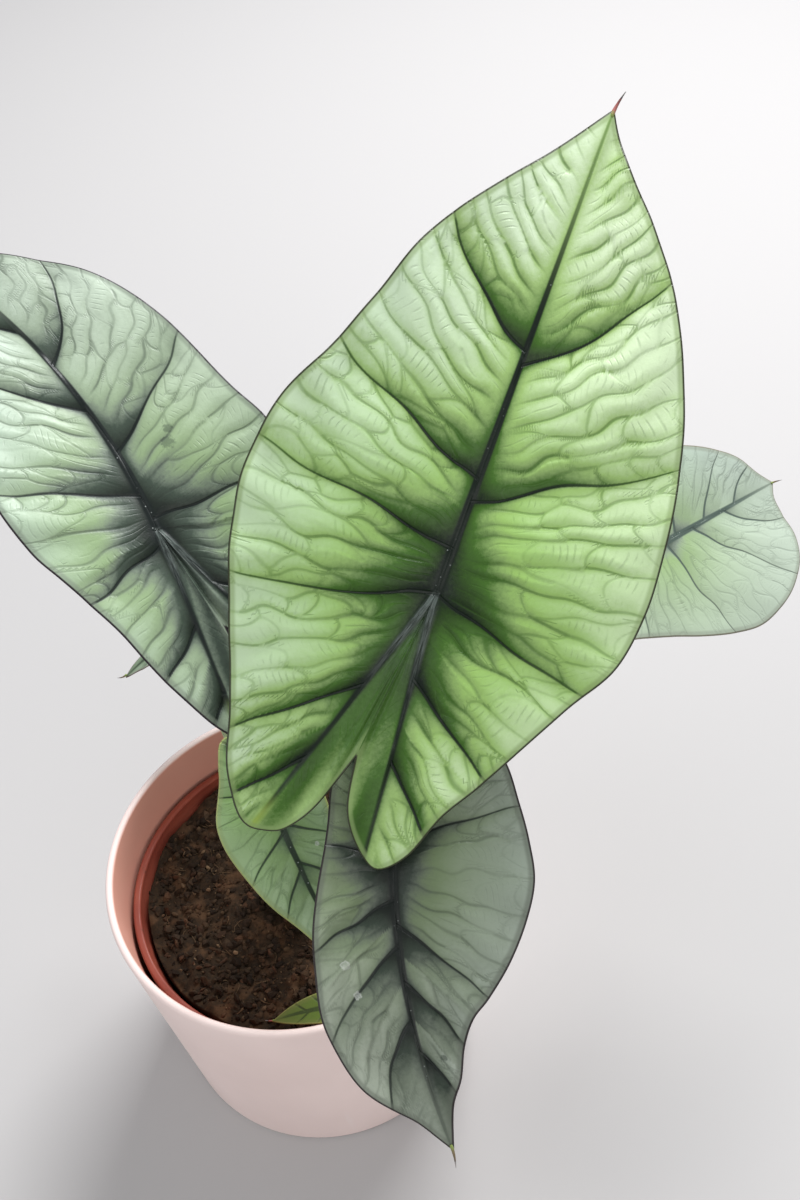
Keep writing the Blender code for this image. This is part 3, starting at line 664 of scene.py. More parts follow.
def blade_piece(leaf, look):
    """A blade: an upper face on rings of the outline shrunk towards the stalk's joint, a rounded
    rim, and an underside with the ribs raised, all carried on the bent and folded leaf surface."""
    half = look.spokes // 2
    left, right = outline_side(leaf.left, half), outline_side(leaf.right, half)
    outline = np.concatenate((left, right[-2:0:-1]))
    count = len(outline)
    tangent = np.roll(outline, -1, axis=0) - np.roll(outline, 1, axis=0)
    outward = np.stack((tangent[:, 1], -tangent[:, 0]), axis=1)
    outward /= np.linalg.norm(outward, axis=1, keepdims=True)
    slant = np.abs(np.sum(outward * outline, axis=1))
    place = np.concatenate(((0,), np.cumsum(np.linalg.norm(np.diff(outline, axis=0), axis=1))))

    top_rows, under_rows = look.rings, look.rings // 4
    top_share = np.linspace(0, 1, top_rows + 1)[1:]
    under_share = np.linspace(0, 1, under_rows + 1)[1:][::-1]
    shares = np.concatenate((top_share, (1.0,), under_share))
    sides = np.sign(top_rows - np.arange(len(shares)))     # 1 above, 0 on the rim and -1 below
    flat = shares[:, None, None] * outline[None]
    flat[top_rows] += outward * RIM_HALF
    u, v = np.concatenate((flat.reshape(-1, 2), np.zeros((2, 2)))).T
    face = np.concatenate((np.repeat(sides, count), (1, -1)))
    margin = np.concatenate((np.outer(1 - shares, slant).ravel(), (40 * MM, 40 * MM)))
    round_place = np.concatenate((np.tile(place, len(shares)), (0, 0)))

    fields = blade_fields(leaf, look, u, v)
    reach = tip_reach(leaf)
    out = np.clip(fields["out"] / reach, 0, 1)
    height = blade_heights(leaf, look, u, v, margin, round_place, fields)
    body = RIM_HALF + (leaf.thickness * MM / 2 - RIM_HALF) * ease(margin, 0, 6 * MM)
    raised = raised_ribs(reach, u, margin, out, fields)
    lift = np.where(face < 0, height * 0.9 - body - raised, height + face * body)
    points = blade_point(leaf, u, v) + blade_normal(leaf, u, v) * lift[:, None]
    mesh = make_mesh(f"blade_{leaf.name}", points, grid_quads(len(shares), count),
                     closing_fans(len(points), len(shares), count)[:, ::-1])

    web, web_fade = fine_veins(reach, u, v, margin, fields)
    warm = np.exp(-(np.hypot(u, v) / (0.42 * reach)) ** 1.5)
    off = 99 * fields["inner"]      # keeps the lines away from the smooth skin between the ribs
    strength = fields["strength"] * ease(fields["out"], 1 * MM, 10 * MM)
    give(mesh, "marks", skin_marks(leaf, reach, u, v, fields))
    give(mesh, "spine", (v / MM, fields["midrib"] / MM, fields["rib"] / MM))
    give(mesh, "main_vein", (fields["main"] / MM, np.abs(fields["main"]) / MM + off, out))
    give(mesh, "net", (fields["side"] / MM, np.abs(fields["side"]) / MM + off, strength))
    give(mesh, "web", (web, web_fade, chance(fields["mesh"] + 1.0, 7.0)))
    give(mesh, "tone", (skin_shade(leaf, look, u, v, out, fields), warm, face < 0))
    give(mesh, "place", (margin / MM, u / reach, fields["inner"]))
    return add_piece(f"blade_{leaf.name}", mesh, leaf_skin(leaf.name, look),
                     f"blade_{leaf.name}")


def tip_piece(leaf, skin):
    """The drip tip: a short tapering tube that goes on from the blade's point along its own curve,
    lifts a little and ends in a fine dry hair."""
    size = relief_scale(leaf)
    t = np.linspace(0, 1, 26)
    u = tip_reach(leaf) + (-2.2 + 7.4 * t) * MM * size
    spots = blade_point(leaf, u, np.zeros(len(u)))
    up = blade_normal(leaf, u, np.zeros(len(u)))
    side = leaf_axes(leaf)[1]
    path = spots + up * (0.2 * MM + 2.2 * MM * size * t[:, None] ** 2.2) \
        + side * (-1.3 * MM * size * t[:, None] ** 2)
    radius = MM * size * (0.10 + 0.62 * (1 - t) ** 0.9 * ease(t, -0.25, 0.16))
    sides = 14
    mesh = tube_mesh(f"blade_{leaf.name}_tip", path, radius, sides)
    level = np.concatenate((np.repeat(t, sides), (0, 1)))
    give(mesh, "grain", (level, level, level))
    return add_piece(f"blade_{leaf.name}_tip", mesh, skin, f"blade_{leaf.name}")


# ---------------------------------------------------------------------------------------------
# Materials
# ---------------------------------------------------------------------------------------------

# Painted highlight on the lobe ribs' ridges, also used for the fainter silver streaking between them.
RIDGE_HIGHLIGHT_AND_STREAK = (0.20, 0.24, 0.22)
WATER_FILM = (0.50, 0.53, 0.48)
WATER_RING = (0.55, 0.57, 0.52)
FRESH_GREEN = (0.430, 0.600, 0.110)
# Painted glints: pale specks along the dark midrib.
MIDRIB_GLINT = (0.35, 0.38, 0.36)


class Nodes:
    """A small helper that adds shader nodes and links them."""

    def __init__(self, name):
        self.material = bpy.data.materials.new(name)
        self.material.use_nodes = True
        self.tree = self.material.node_tree
        self.shader = self.tree.nodes["Principled BSDF"]

    def link(self, value, socket):
        """Feeds a socket from another socket or from a plain value."""
        if isinstance(value, bpy.types.NodeSocket):
            self.tree.links.new(value, socket)
        else:
            socket.default_value = value

    def math(self, operation, a, b=0.0, clamp=False):
        """One step of arithmetic, held to 0..1 if clamped."""
        node = self.tree.nodes.new("ShaderNodeMath")
        node.operation = operation
        node.use_clamp = clamp
        self.link(a, node.inputs[0])
        self.link(b, node.inputs[1])
        return node.outputs[0]

    def times(self, *values):
        """The product of two or more values."""
        product = values[0]
        for value in values[1:]:
            product = self.math("MULTIPLY", product, value)
        return product

    def rest(self, value):
        """What is left of 1."""
        return self.math("SUBTRACT", 1.0, value)

    def attribute(self, name):
        """The three numbers of an attribute."""
        node = self.tree.nodes.new("ShaderNodeAttribute")
        node.attribute_name = name
        split = self.tree.nodes.new("ShaderNodeSeparateXYZ")
        self.tree.links.new(node.outputs["Vector"], split.inputs[0])
        return split.outputs[0], split.outputs[1], split.outputs[2]

    def vector(self, x, y, z=0.0):
        node = self.tree.nodes.new("ShaderNodeCombineXYZ")
        for value, socket in zip((x, y, z), node.inputs):
            self.link(value, socket)
        return node.outputs[0]

    def mix(self, share, a, b):
        """Two colours mixed by a share."""
        node = self.tree.nodes.new("ShaderNodeMix")
        node.data_type = "RGBA"
        for value, socket in zip((share, a, b), (node.inputs[0], node.inputs[6], node.inputs[7])):
            self.link((*value, 1.0) if isinstance(value, tuple) else value, socket)
        return node.outputs[2]

    def span(self, value, low, high, out_low=0.0, out_high=1.0, smooth=True):
        """A value carried from one range to another, clamped, with a smooth S if wanted."""
        node = self.tree.nodes.new("ShaderNodeMapRange")
        node.interpolation_type = "SMOOTHSTEP" if smooth else "LINEAR"
        for number, item in enumerate((value, low, high, out_low, out_high)):
            self.link(item, node.inputs[number])
        return node.outputs[0]

    def ramp(self, value, stops):
        """A colour from stops of a place and a colour."""
        node = self.tree.nodes.new("ShaderNodeValToRGB")
        elements = node.color_ramp.elements
        while len(elements) < len(stops):
            elements.new(0.5)
        for element, (place, colour) in zip(elements, stops):
            element.position = place
            element.color = (*colour, 1.0)
        self.link(value, node.inputs[0])
        return node.outputs[0]

    def noise(self, scale, detail=2.0, rough=0.5, where=None, stretch=None):
        """Noise on Object coordinates, or on a given vector."""
        node = self.tree.nodes.new("ShaderNodeTexNoise")
        node.inputs["Scale"].default_value = scale
        node.inputs["Detail"].default_value = detail
        node.inputs["Roughness"].default_value = rough
        if where is None:
            where = self.object_place()
        if stretch is not None:
            mapping = self.tree.nodes.new("ShaderNodeMapping")
            mapping.inputs["Scale"].default_value = stretch
            self.link(where, mapping.inputs["Vector"])
            where = mapping.outputs[0]
        self.link(where, node.inputs["Vector"])
        return node.outputs["Fac"]

    def cells(self, scale):
        """Distance from the nearest of many points strewn through space."""
        node = self.tree.nodes.new("ShaderNodeTexVoronoi")
        node.inputs["Scale"].default_value = scale
        self.link(self.object_place(), node.inputs["Vector"])
        return node.outputs["Distance"]

    def object_place(self):
        node = self.tree.nodes.new("ShaderNodeTexCoord")
        return node.outputs["Object"]

    def bump(self, height, strength, distance, below=None):
        """A normal tipped by a height, on top of the bump below it if there is one."""
        node = self.tree.nodes.new("ShaderNodeBump")
        node.inputs["Strength"].default_value = strength
        node.inputs["Distance"].default_value = distance
        self.link(height, node.inputs["Height"])
        if below is not None:
            self.link(below, node.inputs["Normal"])
        return node.outputs["Normal"]

    def set(self, **values):
        """Sets sockets of the Principled shader by name, with _ for spaces."""
        for name, value in values.items():
            if isinstance(value, tuple) and len(value) == 3 and "Radius" not in name:
                value = (*value, 1.0)
            self.link(value, self.shader.inputs[name.replace("_", " ")])


Skin = namedtuple("Skin", "across midrib rib main main_plain out side side_plain strength count "
                          "web_fade web_random shade warm under margin way inner cloud grain")


def skin_fields(n):
    """The blade's attributes, with a cloudy and a grainy noise that several layers share."""
    names = ("spine", "main_vein", "net", "web", "tone", "place")
    numbers = [number for name in names for number in n.attribute(name)]
    return Skin(*numbers, n.noise(38.0, 3.0, 0.55), n.noise(900.0, 3.0, 0.65))


def scaled(colour, *factors):
    """A colour with each part multiplied, by one factor or by its own."""
    return tuple(min(1.0, part * factor) for part, factor in zip(colour, factors * (3 // len(factors))))


def thin_line(n, signed, plain, half_width, softness):
    """1 on a vein's line and 0 away from it. Close to the line its distance is the size of the
    signed one, which stays true between points, and further off it is the plain one."""
    close = n.math("LESS_THAN", plain, 1.1)
    distance = n.math("ADD", n.times(n.math("ABSOLUTE", signed), close), n.times(plain, n.rest(close)))
    return n.span(distance, half_width, n.math("ADD", half_width, softness), 1.0, 0.0)


def pillow_colour(n, f, look):
    """The skin without its lines: pale pillows that darken to the veins, a painted silver reflection
    that pales the left half, and livelier green near the joint."""
    mottled = n.math("ADD", f.shade, n.span(f.cloud, 0.3, 0.7, -0.08, 0.06, smooth=False))
    mottled = n.math("ADD", mottled, n.span(f.grain, 0.25, 0.75, -0.04, 0.04, smooth=False), clamp=True)
    green = n.ramp(mottled, ((0.04, look.pale), (0.33, look.mid), (0.63, look.deep),
                             (0.88, scaled(look.deep, 0.32)), (1.0, look.ink)))
    # Painted reflection: the left half is paled towards a bluish silver, as where light glances off its
    # slopes.
    painted_reflection = n.times(n.span(f.across, -12.0, 42.0, smooth=False), n.span(mottled, 0.0, 0.45, 1.0, 0.0))
    green = n.mix(n.times(painted_reflection, 0.45), green, scaled(look.pale, 0.93, 0.94, 1.22))
    lively = n.times(f.warm, n.span(mottled, 0.2, 0.55, 0.8, 0.0))
    return n.mix(lively, green, scaled(look.mid, 0.75, 1.02, 0.35))


def finest_lines(n, f):
    """The finest veins: a line at every whole count, broken up in patches."""
    saw = n.math("ABSOLUTE", n.math("SUBTRACT", n.math("FRACT", f.count), 0.5))
    patchy = n.span(n.noise(150.0, 2.0, 0.5), 0.40, 0.58)
    return n.times(n.span(saw, 0.30, 0.50), f.web_fade, patchy,
                   n.span(f.web_random, 0.0, 1.0, 0.5, 1.0))


def midrib_line(n, f):
    """1 on the midrib, whose distance is exact near it ahead of the joint."""
    half = n.span(f.way, 0.0, 0.95, 1.05, 0.10, smooth=False)
    ahead = n.times(n.math("GREATER_THAN", f.way, 0.0), n.math("LESS_THAN", f.midrib, 3.0))
    gap = n.math("ADD", n.times(n.math("ABSOLUTE", f.across), ahead), n.times(f.midrib, n.rest(ahead)))
    return n.span(gap, half, n.math("ADD", half, 0.55), 1.0, 0.0)


def lobe_lines(n, f, look, green):
    """The two ribs behind the joint, dark, and silver streaks along them and between them close to
    the joint: along the ribs they are painted highlights on the raised ridges, between them a fainter
    silver streaking. Gives the skin with them, and where the ribs are."""
    half = n.span(f.way, -0.45, 0.0, 0.10, 0.42, smooth=False)
    line = n.span(f.rib, half, n.math("ADD", half, 0.8), 1.0, 0.0)
    behind = n.span(f.way, 0.012, -0.012)
    green = n.mix(n.times(line, behind, 0.9), green, look.ink)
    # Painted highlight: the streaks along each rib stand for light on its raised ridge; the weaker share
    # between the ribs is only silver streaking.
    silver_streaks = n.noise(1.0, 3.0, 0.65, n.vector(f.rib, f.way), (2.4, 24.0, 1.0))
    fork = n.math("MAXIMUM", n.span(f.rib, 0.3, 1.3, 1.0, 0.0), n.times(f.inner, 0.40))
    fork = n.times(fork, behind, n.span(f.way, -0.24, -0.03), n.span(silver_streaks, 0.36, 0.66, 0.15, 1.0))
    return n.mix(n.times(fork, 0.62), green, RIDGE_HIGHLIGHT_AND_STREAK), line


def marked(n, f, look, green):
    """The skin with its dried water, healed scars and pale streak."""
    pale_spot, scar, streak = n.attribute("marks")
    rough_edge = n.span(f.grain, 0.3, 0.7, -0.25, 0.25)
    rough_spot = n.math("ADD", pale_spot, rough_edge)
    dried = n.span(rough_spot, 0.35, 0.8)
    ring = n.math("SUBTRACT", dried, n.span(rough_spot, 0.75, 1.05))
    green = n.mix(n.times(dried, 0.30), green, WATER_FILM)
    green = n.mix(n.times(ring, 0.35), green, WATER_RING)
    healed = n.span(n.math("ADD", scar, rough_edge), 0.4, 0.9)
    green = n.mix(n.times(healed, 0.55), green, look.deep)
    return n.mix(n.times(streak, 0.75), green, FRESH_GREEN)


def leaf_skin(name, look):
    """The skin of a blade: pale pillows that darken to the veins, with painted shade on the veins'
    tipward sides, a painted silver reflection on the left half, painted highlights on the lobe ribs'
    ridges and painted glints along the midrib, dark vein lines, a darker rim line with a greener band
    inside it, a paler underside, fine grain and a soft waxy bloom."""
    n = Nodes(f"{name}_leaf_skin")
    f = skin_fields(n)
    green = pillow_colour(n, f, look)
    web_line = finest_lines(n, f)
    green = n.mix(n.times(web_line, 0.04 + 0.16 * look.net), green, look.deep)
    side_line = n.times(thin_line(n, f.side, f.side_plain, 0.05, 0.50), f.strength, 0.3 + 0.7 * look.net)
    green = n.mix(n.times(side_line, n.span(f.out, 0.1, 0.6, 0.62, 0.38)), green, look.deep)
    vein_half = n.span(f.out, 0.0, 0.38, 0.24, 0.02, smooth=False)
    main_line = thin_line(n, f.main, f.main_plain, vein_half, 0.42)
    main_ink = n.mix(n.span(f.out, 0.10, 0.45), look.ink, look.deep)
    green = n.mix(n.times(main_line, n.span(f.out, 0.25, 0.6, 0.97, 0.80)), green, main_ink)

    spine_line = midrib_line(n, f)
    midway = tuple((a + b) / 2 for a, b in zip(look.deep, look.mid))
    green = n.mix(spine_line, green, n.mix(n.span(f.way, 0.55, 1.02), look.ink, midway))
    # Painted glints: small pale specks strewn along the dark midrib, standing for light catching it.
    glint_dots = n.span(n.cells(620.0), 0.16, 0.08)
    specks = n.times(glint_dots, spine_line, n.span(f.cloud, 0.45, 0.6))
    green = n.mix(n.times(specks, 0.7), green, MIDRIB_GLINT)
    green, lobe_line = lobe_lines(n, f, look, green)
    green = marked(n, f, look, green)
    band = n.span(f.margin, 1.0, 2.1, 1.0, 0.0)
    green = n.mix(n.times(band, 0.60), green, n.mix(0.35, look.mid, look.rim))
    edge = n.span(f.margin, 0.12, 0.50, 1.0, 0.0)
    green = n.mix(edge, green, look.rim)

    below = n.mix(n.span(f.cloud, 0.3, 0.7), look.under, scaled(look.under, 0.82))
    below = n.mix(n.times(side_line, 0.35), below, look.mid)
    ribs = n.math("MAXIMUM", n.times(main_line, 0.8), n.math("MAXIMUM", spine_line, lobe_line))
    below = n.mix(ribs, below, scaled(look.under, 1.18))
    colour = n.mix(f.under, green, n.mix(edge, below, look.rim))

    gloss = n.span(f.grain, 0.3, 0.7, 0.34, 0.46, smooth=False)
    gloss = n.math("ADD", gloss, n.times(f.under, 0.16))
    fine = n.bump(n.noise(2600.0, 2.0, 0.5), 0.10, 0.00012)
    grainy = n.bump(f.grain, 0.14, 0.0004, fine)
    webbed = n.bump(web_line, 0.15 + 0.35 * look.net, -0.00028, grainy)
    creased = n.bump(n.math("MAXIMUM", side_line, main_line), 0.50, -0.00035, webbed)
    n.set(Base_Color=colour, Roughness=gloss, Normal=creased, Specular_IOR_Level=0.24,
          Sheen_Weight=look.bloom, Sheen_Roughness=0.45, Sheen_Tint=(0.86, 0.95, 0.90))
    return n.material


def stalk_skin():
    """Stalk skin: pale green, flushed brown at the foot, with fine crosswise purple-brown mottling
    and lengthwise grain. The grain attribute holds the way round, the way along and the share."""
    n = Nodes("stalk_skin")
    around, along, share = n.attribute("grain")
    where = n.vector(around, along)
    streak = n.noise(1.0, 3.0, 0.6, where, (0.9, 0.05, 1.0))
    dash = n.noise(1.0, 2.0, 0.6, where, (0.55, 1.6, 1.0))
    green = n.mix(n.span(streak, 0.35, 0.65), (0.235, 0.330, 0.130), (0.330, 0.420, 0.210))
    foot = n.span(share, 0.0, 0.35, 1.0, 0.0)
    green = n.mix(n.times(foot, 0.55), green, (0.300, 0.260, 0.170))
    green = n.mix(n.span(share, 0.012, 0.045, 0.75, 0.0), green, (0.200, 0.145, 0.080))
    mark = n.times(n.span(dash, 0.54, 0.64), n.span(share, 0.95, 0.3, 0.15, 0.75))
    green = n.mix(mark, green, (0.095, 0.050, 0.045))
    grain = n.bump(streak, 0.25, 0.0004)
    n.set(Base_Color=green, Roughness=n.span(dash, 0.3, 0.7, 0.36, 0.48), Normal=grain,
          Specular_IOR_Level=0.5)
    return n.material


def tip_skin(fresh):
    """Drip tip: fresh colour at the blade, a reddish or brown middle and a dry grey hair."""
    n = Nodes("fresh_tip" if fresh else "dry_tip")
    along = n.attribute("grain")[0]
    fleck = n.noise(1800.0, 3.0, 0.6)
    place = n.math("ADD", along, n.span(fleck, 0.3, 0.7, -0.08, 0.08))
    flush = (0.420, 0.130, 0.115) if fresh else (0.170, 0.120, 0.060)
    stops = ((0.10, (0.200, 0.260, 0.060)), (0.30, flush), (0.62, scaled(flush, 0.7)),
             (0.72, (0.050, 0.030, 0.028)), (0.85, (0.230, 0.210, 0.200)))
    n.set(Base_Color=n.ramp(place, stops), Roughness=n.span(fleck, 0.3, 0.7, 0.4, 0.6),
          Normal=n.bump(fleck, 0.3, 0.0002))
    return n.material


def crown_skin():
    """Crown bark: corky brown rings of old leaf scars over greenish brown."""
    n = Nodes("crown_bark")
    cork = n.noise(240.0, 5.0, 0.65, None, (1.0, 1.0, 3.0))
    colour = n.ramp(cork, ((0.25, (0.050, 0.034, 0.020)), (0.5, (0.160, 0.118, 0.066)),
                           (0.75, (0.290, 0.250, 0.150))))
    near_stalk = n.attribute("collar")[0]
    husk = n.mix(n.span(cork, 0.35, 0.65), (0.130, 0.100, 0.050), (0.270, 0.270, 0.140))
    colour = n.mix(n.times(near_stalk, 0.8), colour, husk)
    n.set(Base_Color=colour, Roughness=n.span(cork, 0.3, 0.7, 0.65, 0.9),
          Normal=n.bump(cork, 0.7, 0.0012), Specular_IOR_Level=0.25)
    return n.material


def soil_skin():
    """Potting mix: dark damp peat with lighter brown and reddish bark. Each crumb has its own
    tone, and the ground between them is the darkest."""
    n = Nodes("potting_mix_crumbs")
    tone, red, crumb = n.attribute("crumb")
    grit = n.noise(700.0, 4.0, 0.7)
    clump = n.noise(95.0, 3.0, 0.6)
    dark = n.ramp(grit, ((0.3, (0.010, 0.006, 0.003)), (0.7, (0.042, 0.024, 0.013))))
    dark = n.mix(n.span(clump, 0.48, 0.66, 0.0, 0.75), dark, (0.090, 0.046, 0.023))
    chip = n.ramp(tone, ((0.0, (0.013, 0.008, 0.005)), (0.45, (0.040, 0.024, 0.014)),
                         (0.80, (0.090, 0.053, 0.028)), (1.0, (0.220, 0.140, 0.080))))
    chip = n.mix(n.span(clump, 0.48, 0.66, 0.0, 0.5), chip, (0.105, 0.053, 0.026))
    chip = n.mix(n.times(red, 0.5), chip, (0.130, 0.055, 0.028))
    chip = n.mix(n.span(grit, 0.35, 0.65, 0.0, 0.45), chip, (0.022, 0.014, 0.009))
    n.set(Base_Color=n.mix(crumb, dark, chip), Roughness=n.span(grit, 0.3, 0.7, 0.75, 0.98),
          Normal=n.bump(grit, 0.6, 0.0006), Specular_IOR_Level=0.15)
    return n.material


def cover_skin():
    """Cover pot plastic: matte pale pink with a faint clouding, a fine moulded grain and a few long
    scuffs. The inside is painted a deeper, darker salmon: painted shade and red light reflected from
    the terracotta nursery pot, on the same plastic."""
    n = Nodes("pale_pink_plastic")
    cloud = n.noise(16.0, 3.0, 0.5)
    grain = n.noise(1500.0, 2.0, 0.5)
    scuff = n.noise(60.0, 4.0, 0.6, None, (1.0, 1.0, 0.12))
    pink = n.mix(n.span(cloud, 0.3, 0.7), (0.800, 0.640, 0.600), (0.850, 0.690, 0.650))
    pink = n.mix(n.span(scuff, 0.66, 0.78, 0.0, 0.35), pink, (0.86, 0.76, 0.73))
    # Painted shade and reflected light: the inner wall's deeper salmon stands for shade and for red
    # light bounced off the nursery pot.
    inner = n.mix(n.span(cloud, 0.3, 0.7), (0.820, 0.420, 0.330), (0.760, 0.380, 0.290))
    pink = n.mix(n.attribute("wall")[0], pink, inner)
    n.set(Base_Color=pink, Roughness=n.span(scuff, 0.4, 0.75, 0.52, 0.68),
          Normal=n.bump(grain, 0.12, 0.0002), Specular_IOR_Level=0.45)
    return n.material


def nursery_skin():
    """Nursery pot plastic: terracotta red, satin, with soil dust and watering marks on it."""
    n = Nodes("terracotta_plastic")
    specks = n.noise(130.0, 5.0, 0.65)
    mark = n.noise(34.0, 3.0, 0.5, None, (1.0, 1.0, 0.3))
    red = n.mix(n.span(mark, 0.35, 0.65), (0.300, 0.070, 0.042), (0.245, 0.050, 0.032))
    red = n.mix(n.span(specks, 0.60, 0.74, 0.0, 0.65), red, (0.070, 0.036, 0.024))
    n.set(Base_Color=red, Roughness=n.span(specks, 0.3, 0.7, 0.38, 0.62),
          Normal=n.bump(specks, 0.10, 0.0004), Specular_IOR_Level=0.3)
    return n.material


# ---------------------------------------------------------------------------------------------
# Stalks and crown
# ---------------------------------------------------------------------------------------------

# The base angle, in degrees, and ring, 0 in the middle and 1 outside, place a stalk's foot on the
# crown. Its radii and the lengths of its curve's handles, up from the foot and down from the blade,
# are in mm.
Stalk = namedtuple("Stalk", "leaf base_angle base_ring base_radius top_radius rise reach")
STALKS = (
    Stalk("main", 0, 0, 3.9, 2.5, 90, 62),
    Stalk("left", 140, 1, 3.7, 2.3, 90, 60),
    Stalk("lower", -48, 1, 3.3, 2.0, 60, 50),
    Stalk("small", -108, 1, 2.8, 1.6, 45, 34),
    Stalk("right", 20, 1, 3.4, 2.0, 60, 60),
    Stalk("back", 85, 1, 3.0, 1.8, 50, 40),
)
STALK_RING = 8.6 * MM
STALK_END = 1.5 * MM
STALK_STEPS = 90
STALK_SIDES = 28


def stalk_piece(leaf, base, rise, reach, base_radius, top_radius, skin):
    """A stalk: a cubic curve from the crown to the underside of its blade, with a tube that is
    flattened and grooved like a sheath near its foot and lightly ribbed all the way up."""
    up = leaf_axes(leaf)[2]
    foot = np.array(base)
    drop = JOINT_DROP * relief_scale(leaf) * LOOKS[leaf.name].relief
    end = np.array(leaf.joint) * MM - up * (leaf.thickness * MM / 2 + drop + 0.3 * MM)
    start, stop = foot + np.array((0, 0, STALK_END)), end - up * STALK_END
    first, second = start + np.array((0, 0, rise * MM)), stop - up * reach * MM
    t = np.linspace(0, 1, STALK_STEPS)[:, None]
    path = (1 - t) ** 3 * start + 3 * t * (1 - t) ** 2 * first + 3 * t * t * (1 - t) * second
    path = np.concatenate(([foot], path + t ** 3 * stop, [end]))
    share = np.concatenate(((0,), t[:, 0], (1,)))
    radius = top_radius + (base_radius - top_radius) * (1 - share) ** 1.5
    radius = radius + 0.45 * np.exp(-(1 - share) / 0.012) + 0.16 * base_radius * np.exp(-share / 0.03)
    angle = np.arange(STALK_SIDES) * TAU / STALK_SIDES
    inward = math.atan2(-base[1], -base[0])
    groove = np.exp(-(np.angle(np.exp(1j * (angle - inward))) / 0.55) ** 2)
    sheath = np.exp(-share / 0.16)
    wobble = 1 - 0.22 * np.outer(sheath, groove) + 0.02 * np.cos(angle * 9)[None]
    length = np.concatenate(((0,), np.cumsum(np.linalg.norm(np.diff(path, axis=0), axis=1))))
    mesh = tube_mesh(f"petiole_{leaf.name}", path, radius * MM, STALK_SIDES, wobble)
    rows = len(path)
    around = np.concatenate((np.tile(angle * 3, rows), (0, 0)))
    along = np.concatenate((np.repeat(length * 1000, STALK_SIDES), (0, length[-1] * 1000)))
    level = np.concatenate((np.repeat(share, STALK_SIDES), (0, 1)))
    give(mesh, "grain", (around, along, level))
    return add_piece(f"petiole_{leaf.name}", mesh, skin, f"petiole_{leaf.name}")


def stalk_foot(item, level):
    """Where a stalk stands on the crown."""
    angle, ring = math.radians(item.base_angle), item.base_ring * STALK_RING
    return ring * math.cos(angle), ring * math.sin(angle), level


def crown_piece(skin):
    """The crown: a barrel whose side swells between rings of leaf scars, is lumpy all round and
    rises in a soft collar round the foot of every stalk."""
    low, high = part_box("crown")
    wall_rows, top_rows, steps = 40, 46, 144
    angle = np.arange(steps) * TAU / steps
    share = np.linspace(0, 1, wall_rows)
    swell = 1 - 0.07 * np.abs(np.sin(share * 4.5 * math.pi)) ** 0.5
    round_off = np.sqrt(np.clip(1 - np.maximum((share - 0.80) / 0.21, 0) ** 2, 0.12, 1))
    r = high.x * 0.97 * np.concatenate((swell * round_off, np.linspace(0.34, 0.01, top_rows)))
    level = np.concatenate((low.z + share * (high.z - low.z), np.full(top_rows, high.z)))
    lumps = 0.035 * ripple(np.cos(angle)[None] * 3, np.sin(angle)[None] * 3 + level[:, None] * 300, 21)
    r = r[:, None] * (1 + lumps)
    x, y = r * np.cos(angle), r * np.sin(angle)
    collar = np.zeros(x.shape)
    for item in STALKS:
        foot = stalk_foot(item, 0)
        gap = np.maximum(np.hypot(x - foot[0], y - foot[1]) - item.base_radius * MM, 0)
        collar = np.maximum(collar, np.exp(-(gap / (1.3 * MM)) ** 1.3))
    rise = np.concatenate((ease(share, 0.72, 1.0), np.ones(top_rows)))[:, None]
    z = level[:, None] + rise * (2.4 * MM * collar - 1.6 * MM) \
        + 0.25 * MM * ripple(x * 500, y * 500, 22) * rise
    points = np.stack((x, y, z), axis=-1).reshape(-1, 3)
    points = np.concatenate((points, ((0, 0, low.z), (0, 0, high.z))))
    rows = wall_rows + top_rows
    mesh = make_mesh("crown", points, grid_quads(rows, steps)[:, ::-1],
                     closing_fans(len(points), rows, steps))
    give(mesh, "collar", [np.concatenate(((collar * rise).ravel(), (0, 1)))] * 3)
    return add_piece("crown", mesh, skin, "crown")


# ---------------------------------------------------------------------------------------------
# Soil
# ---------------------------------------------------------------------------------------------

SOIL_TOP = 93 * MM
YOUNG_FOOT = (23 * MM, -40 * MM, SOIL_TOP - 2 * MM)     # of the youngest stalk, in the soil
CRUMBS = 3600


def soil_level(x, y):
    """Height of the soil's top: slow waves, with finer lumps added."""
    waves = np.sin(x * 190 + 1.0) * np.cos(y * 160 - 0.5) + 0.6 * np.sin(x * 90 - y * 230)
    lumps = 0.8 * ripple(x * 80, y * 80, 31) + 0.75 * np.abs(ripple(x * 130, y * 130, 32)) \
        + 0.35 * ripple(x * 300, y * 300, 33, 12) + 0.2 * ripple(x * 600, y * 600, 34, 14)
    return SOIL_TOP + 1.2 * MM * waves / 1.6 + 1.0 * MM * lumps - 0.4 * MM


def soil_plug(low_z, rim, pocket, rows, steps):
    """Points of the soil's plug: a narrow foot, a shoulder at the pot's wall and a top on rings from
    the wall to the crown's pocket, then the middle points of its underside and its top."""
    angle = np.arange(steps) * TAU / steps
    radii = np.linspace(rim, pocket * 0.8, rows)
    x, y = np.outer(radii, np.cos(angle)), np.outer(radii, np.sin(angle))
    top = soil_level(x, y) + 0.8 * MM * ease(radii, rim - 6 * MM, rim)[:, None]
    rings = [np.stack((np.cos(angle) * r, np.sin(angle) * r, np.full(steps, z)), axis=-1)
             for r, z in ((rim * 0.79, low_z), (rim, SOIL_TOP - 7 * MM))]
    middles = ((0, 0, low_z), (0, 0, SOIL_TOP - 2 * MM))
    return np.concatenate((*rings, np.stack((x, y, top), axis=-1).reshape(-1, 3), middles))


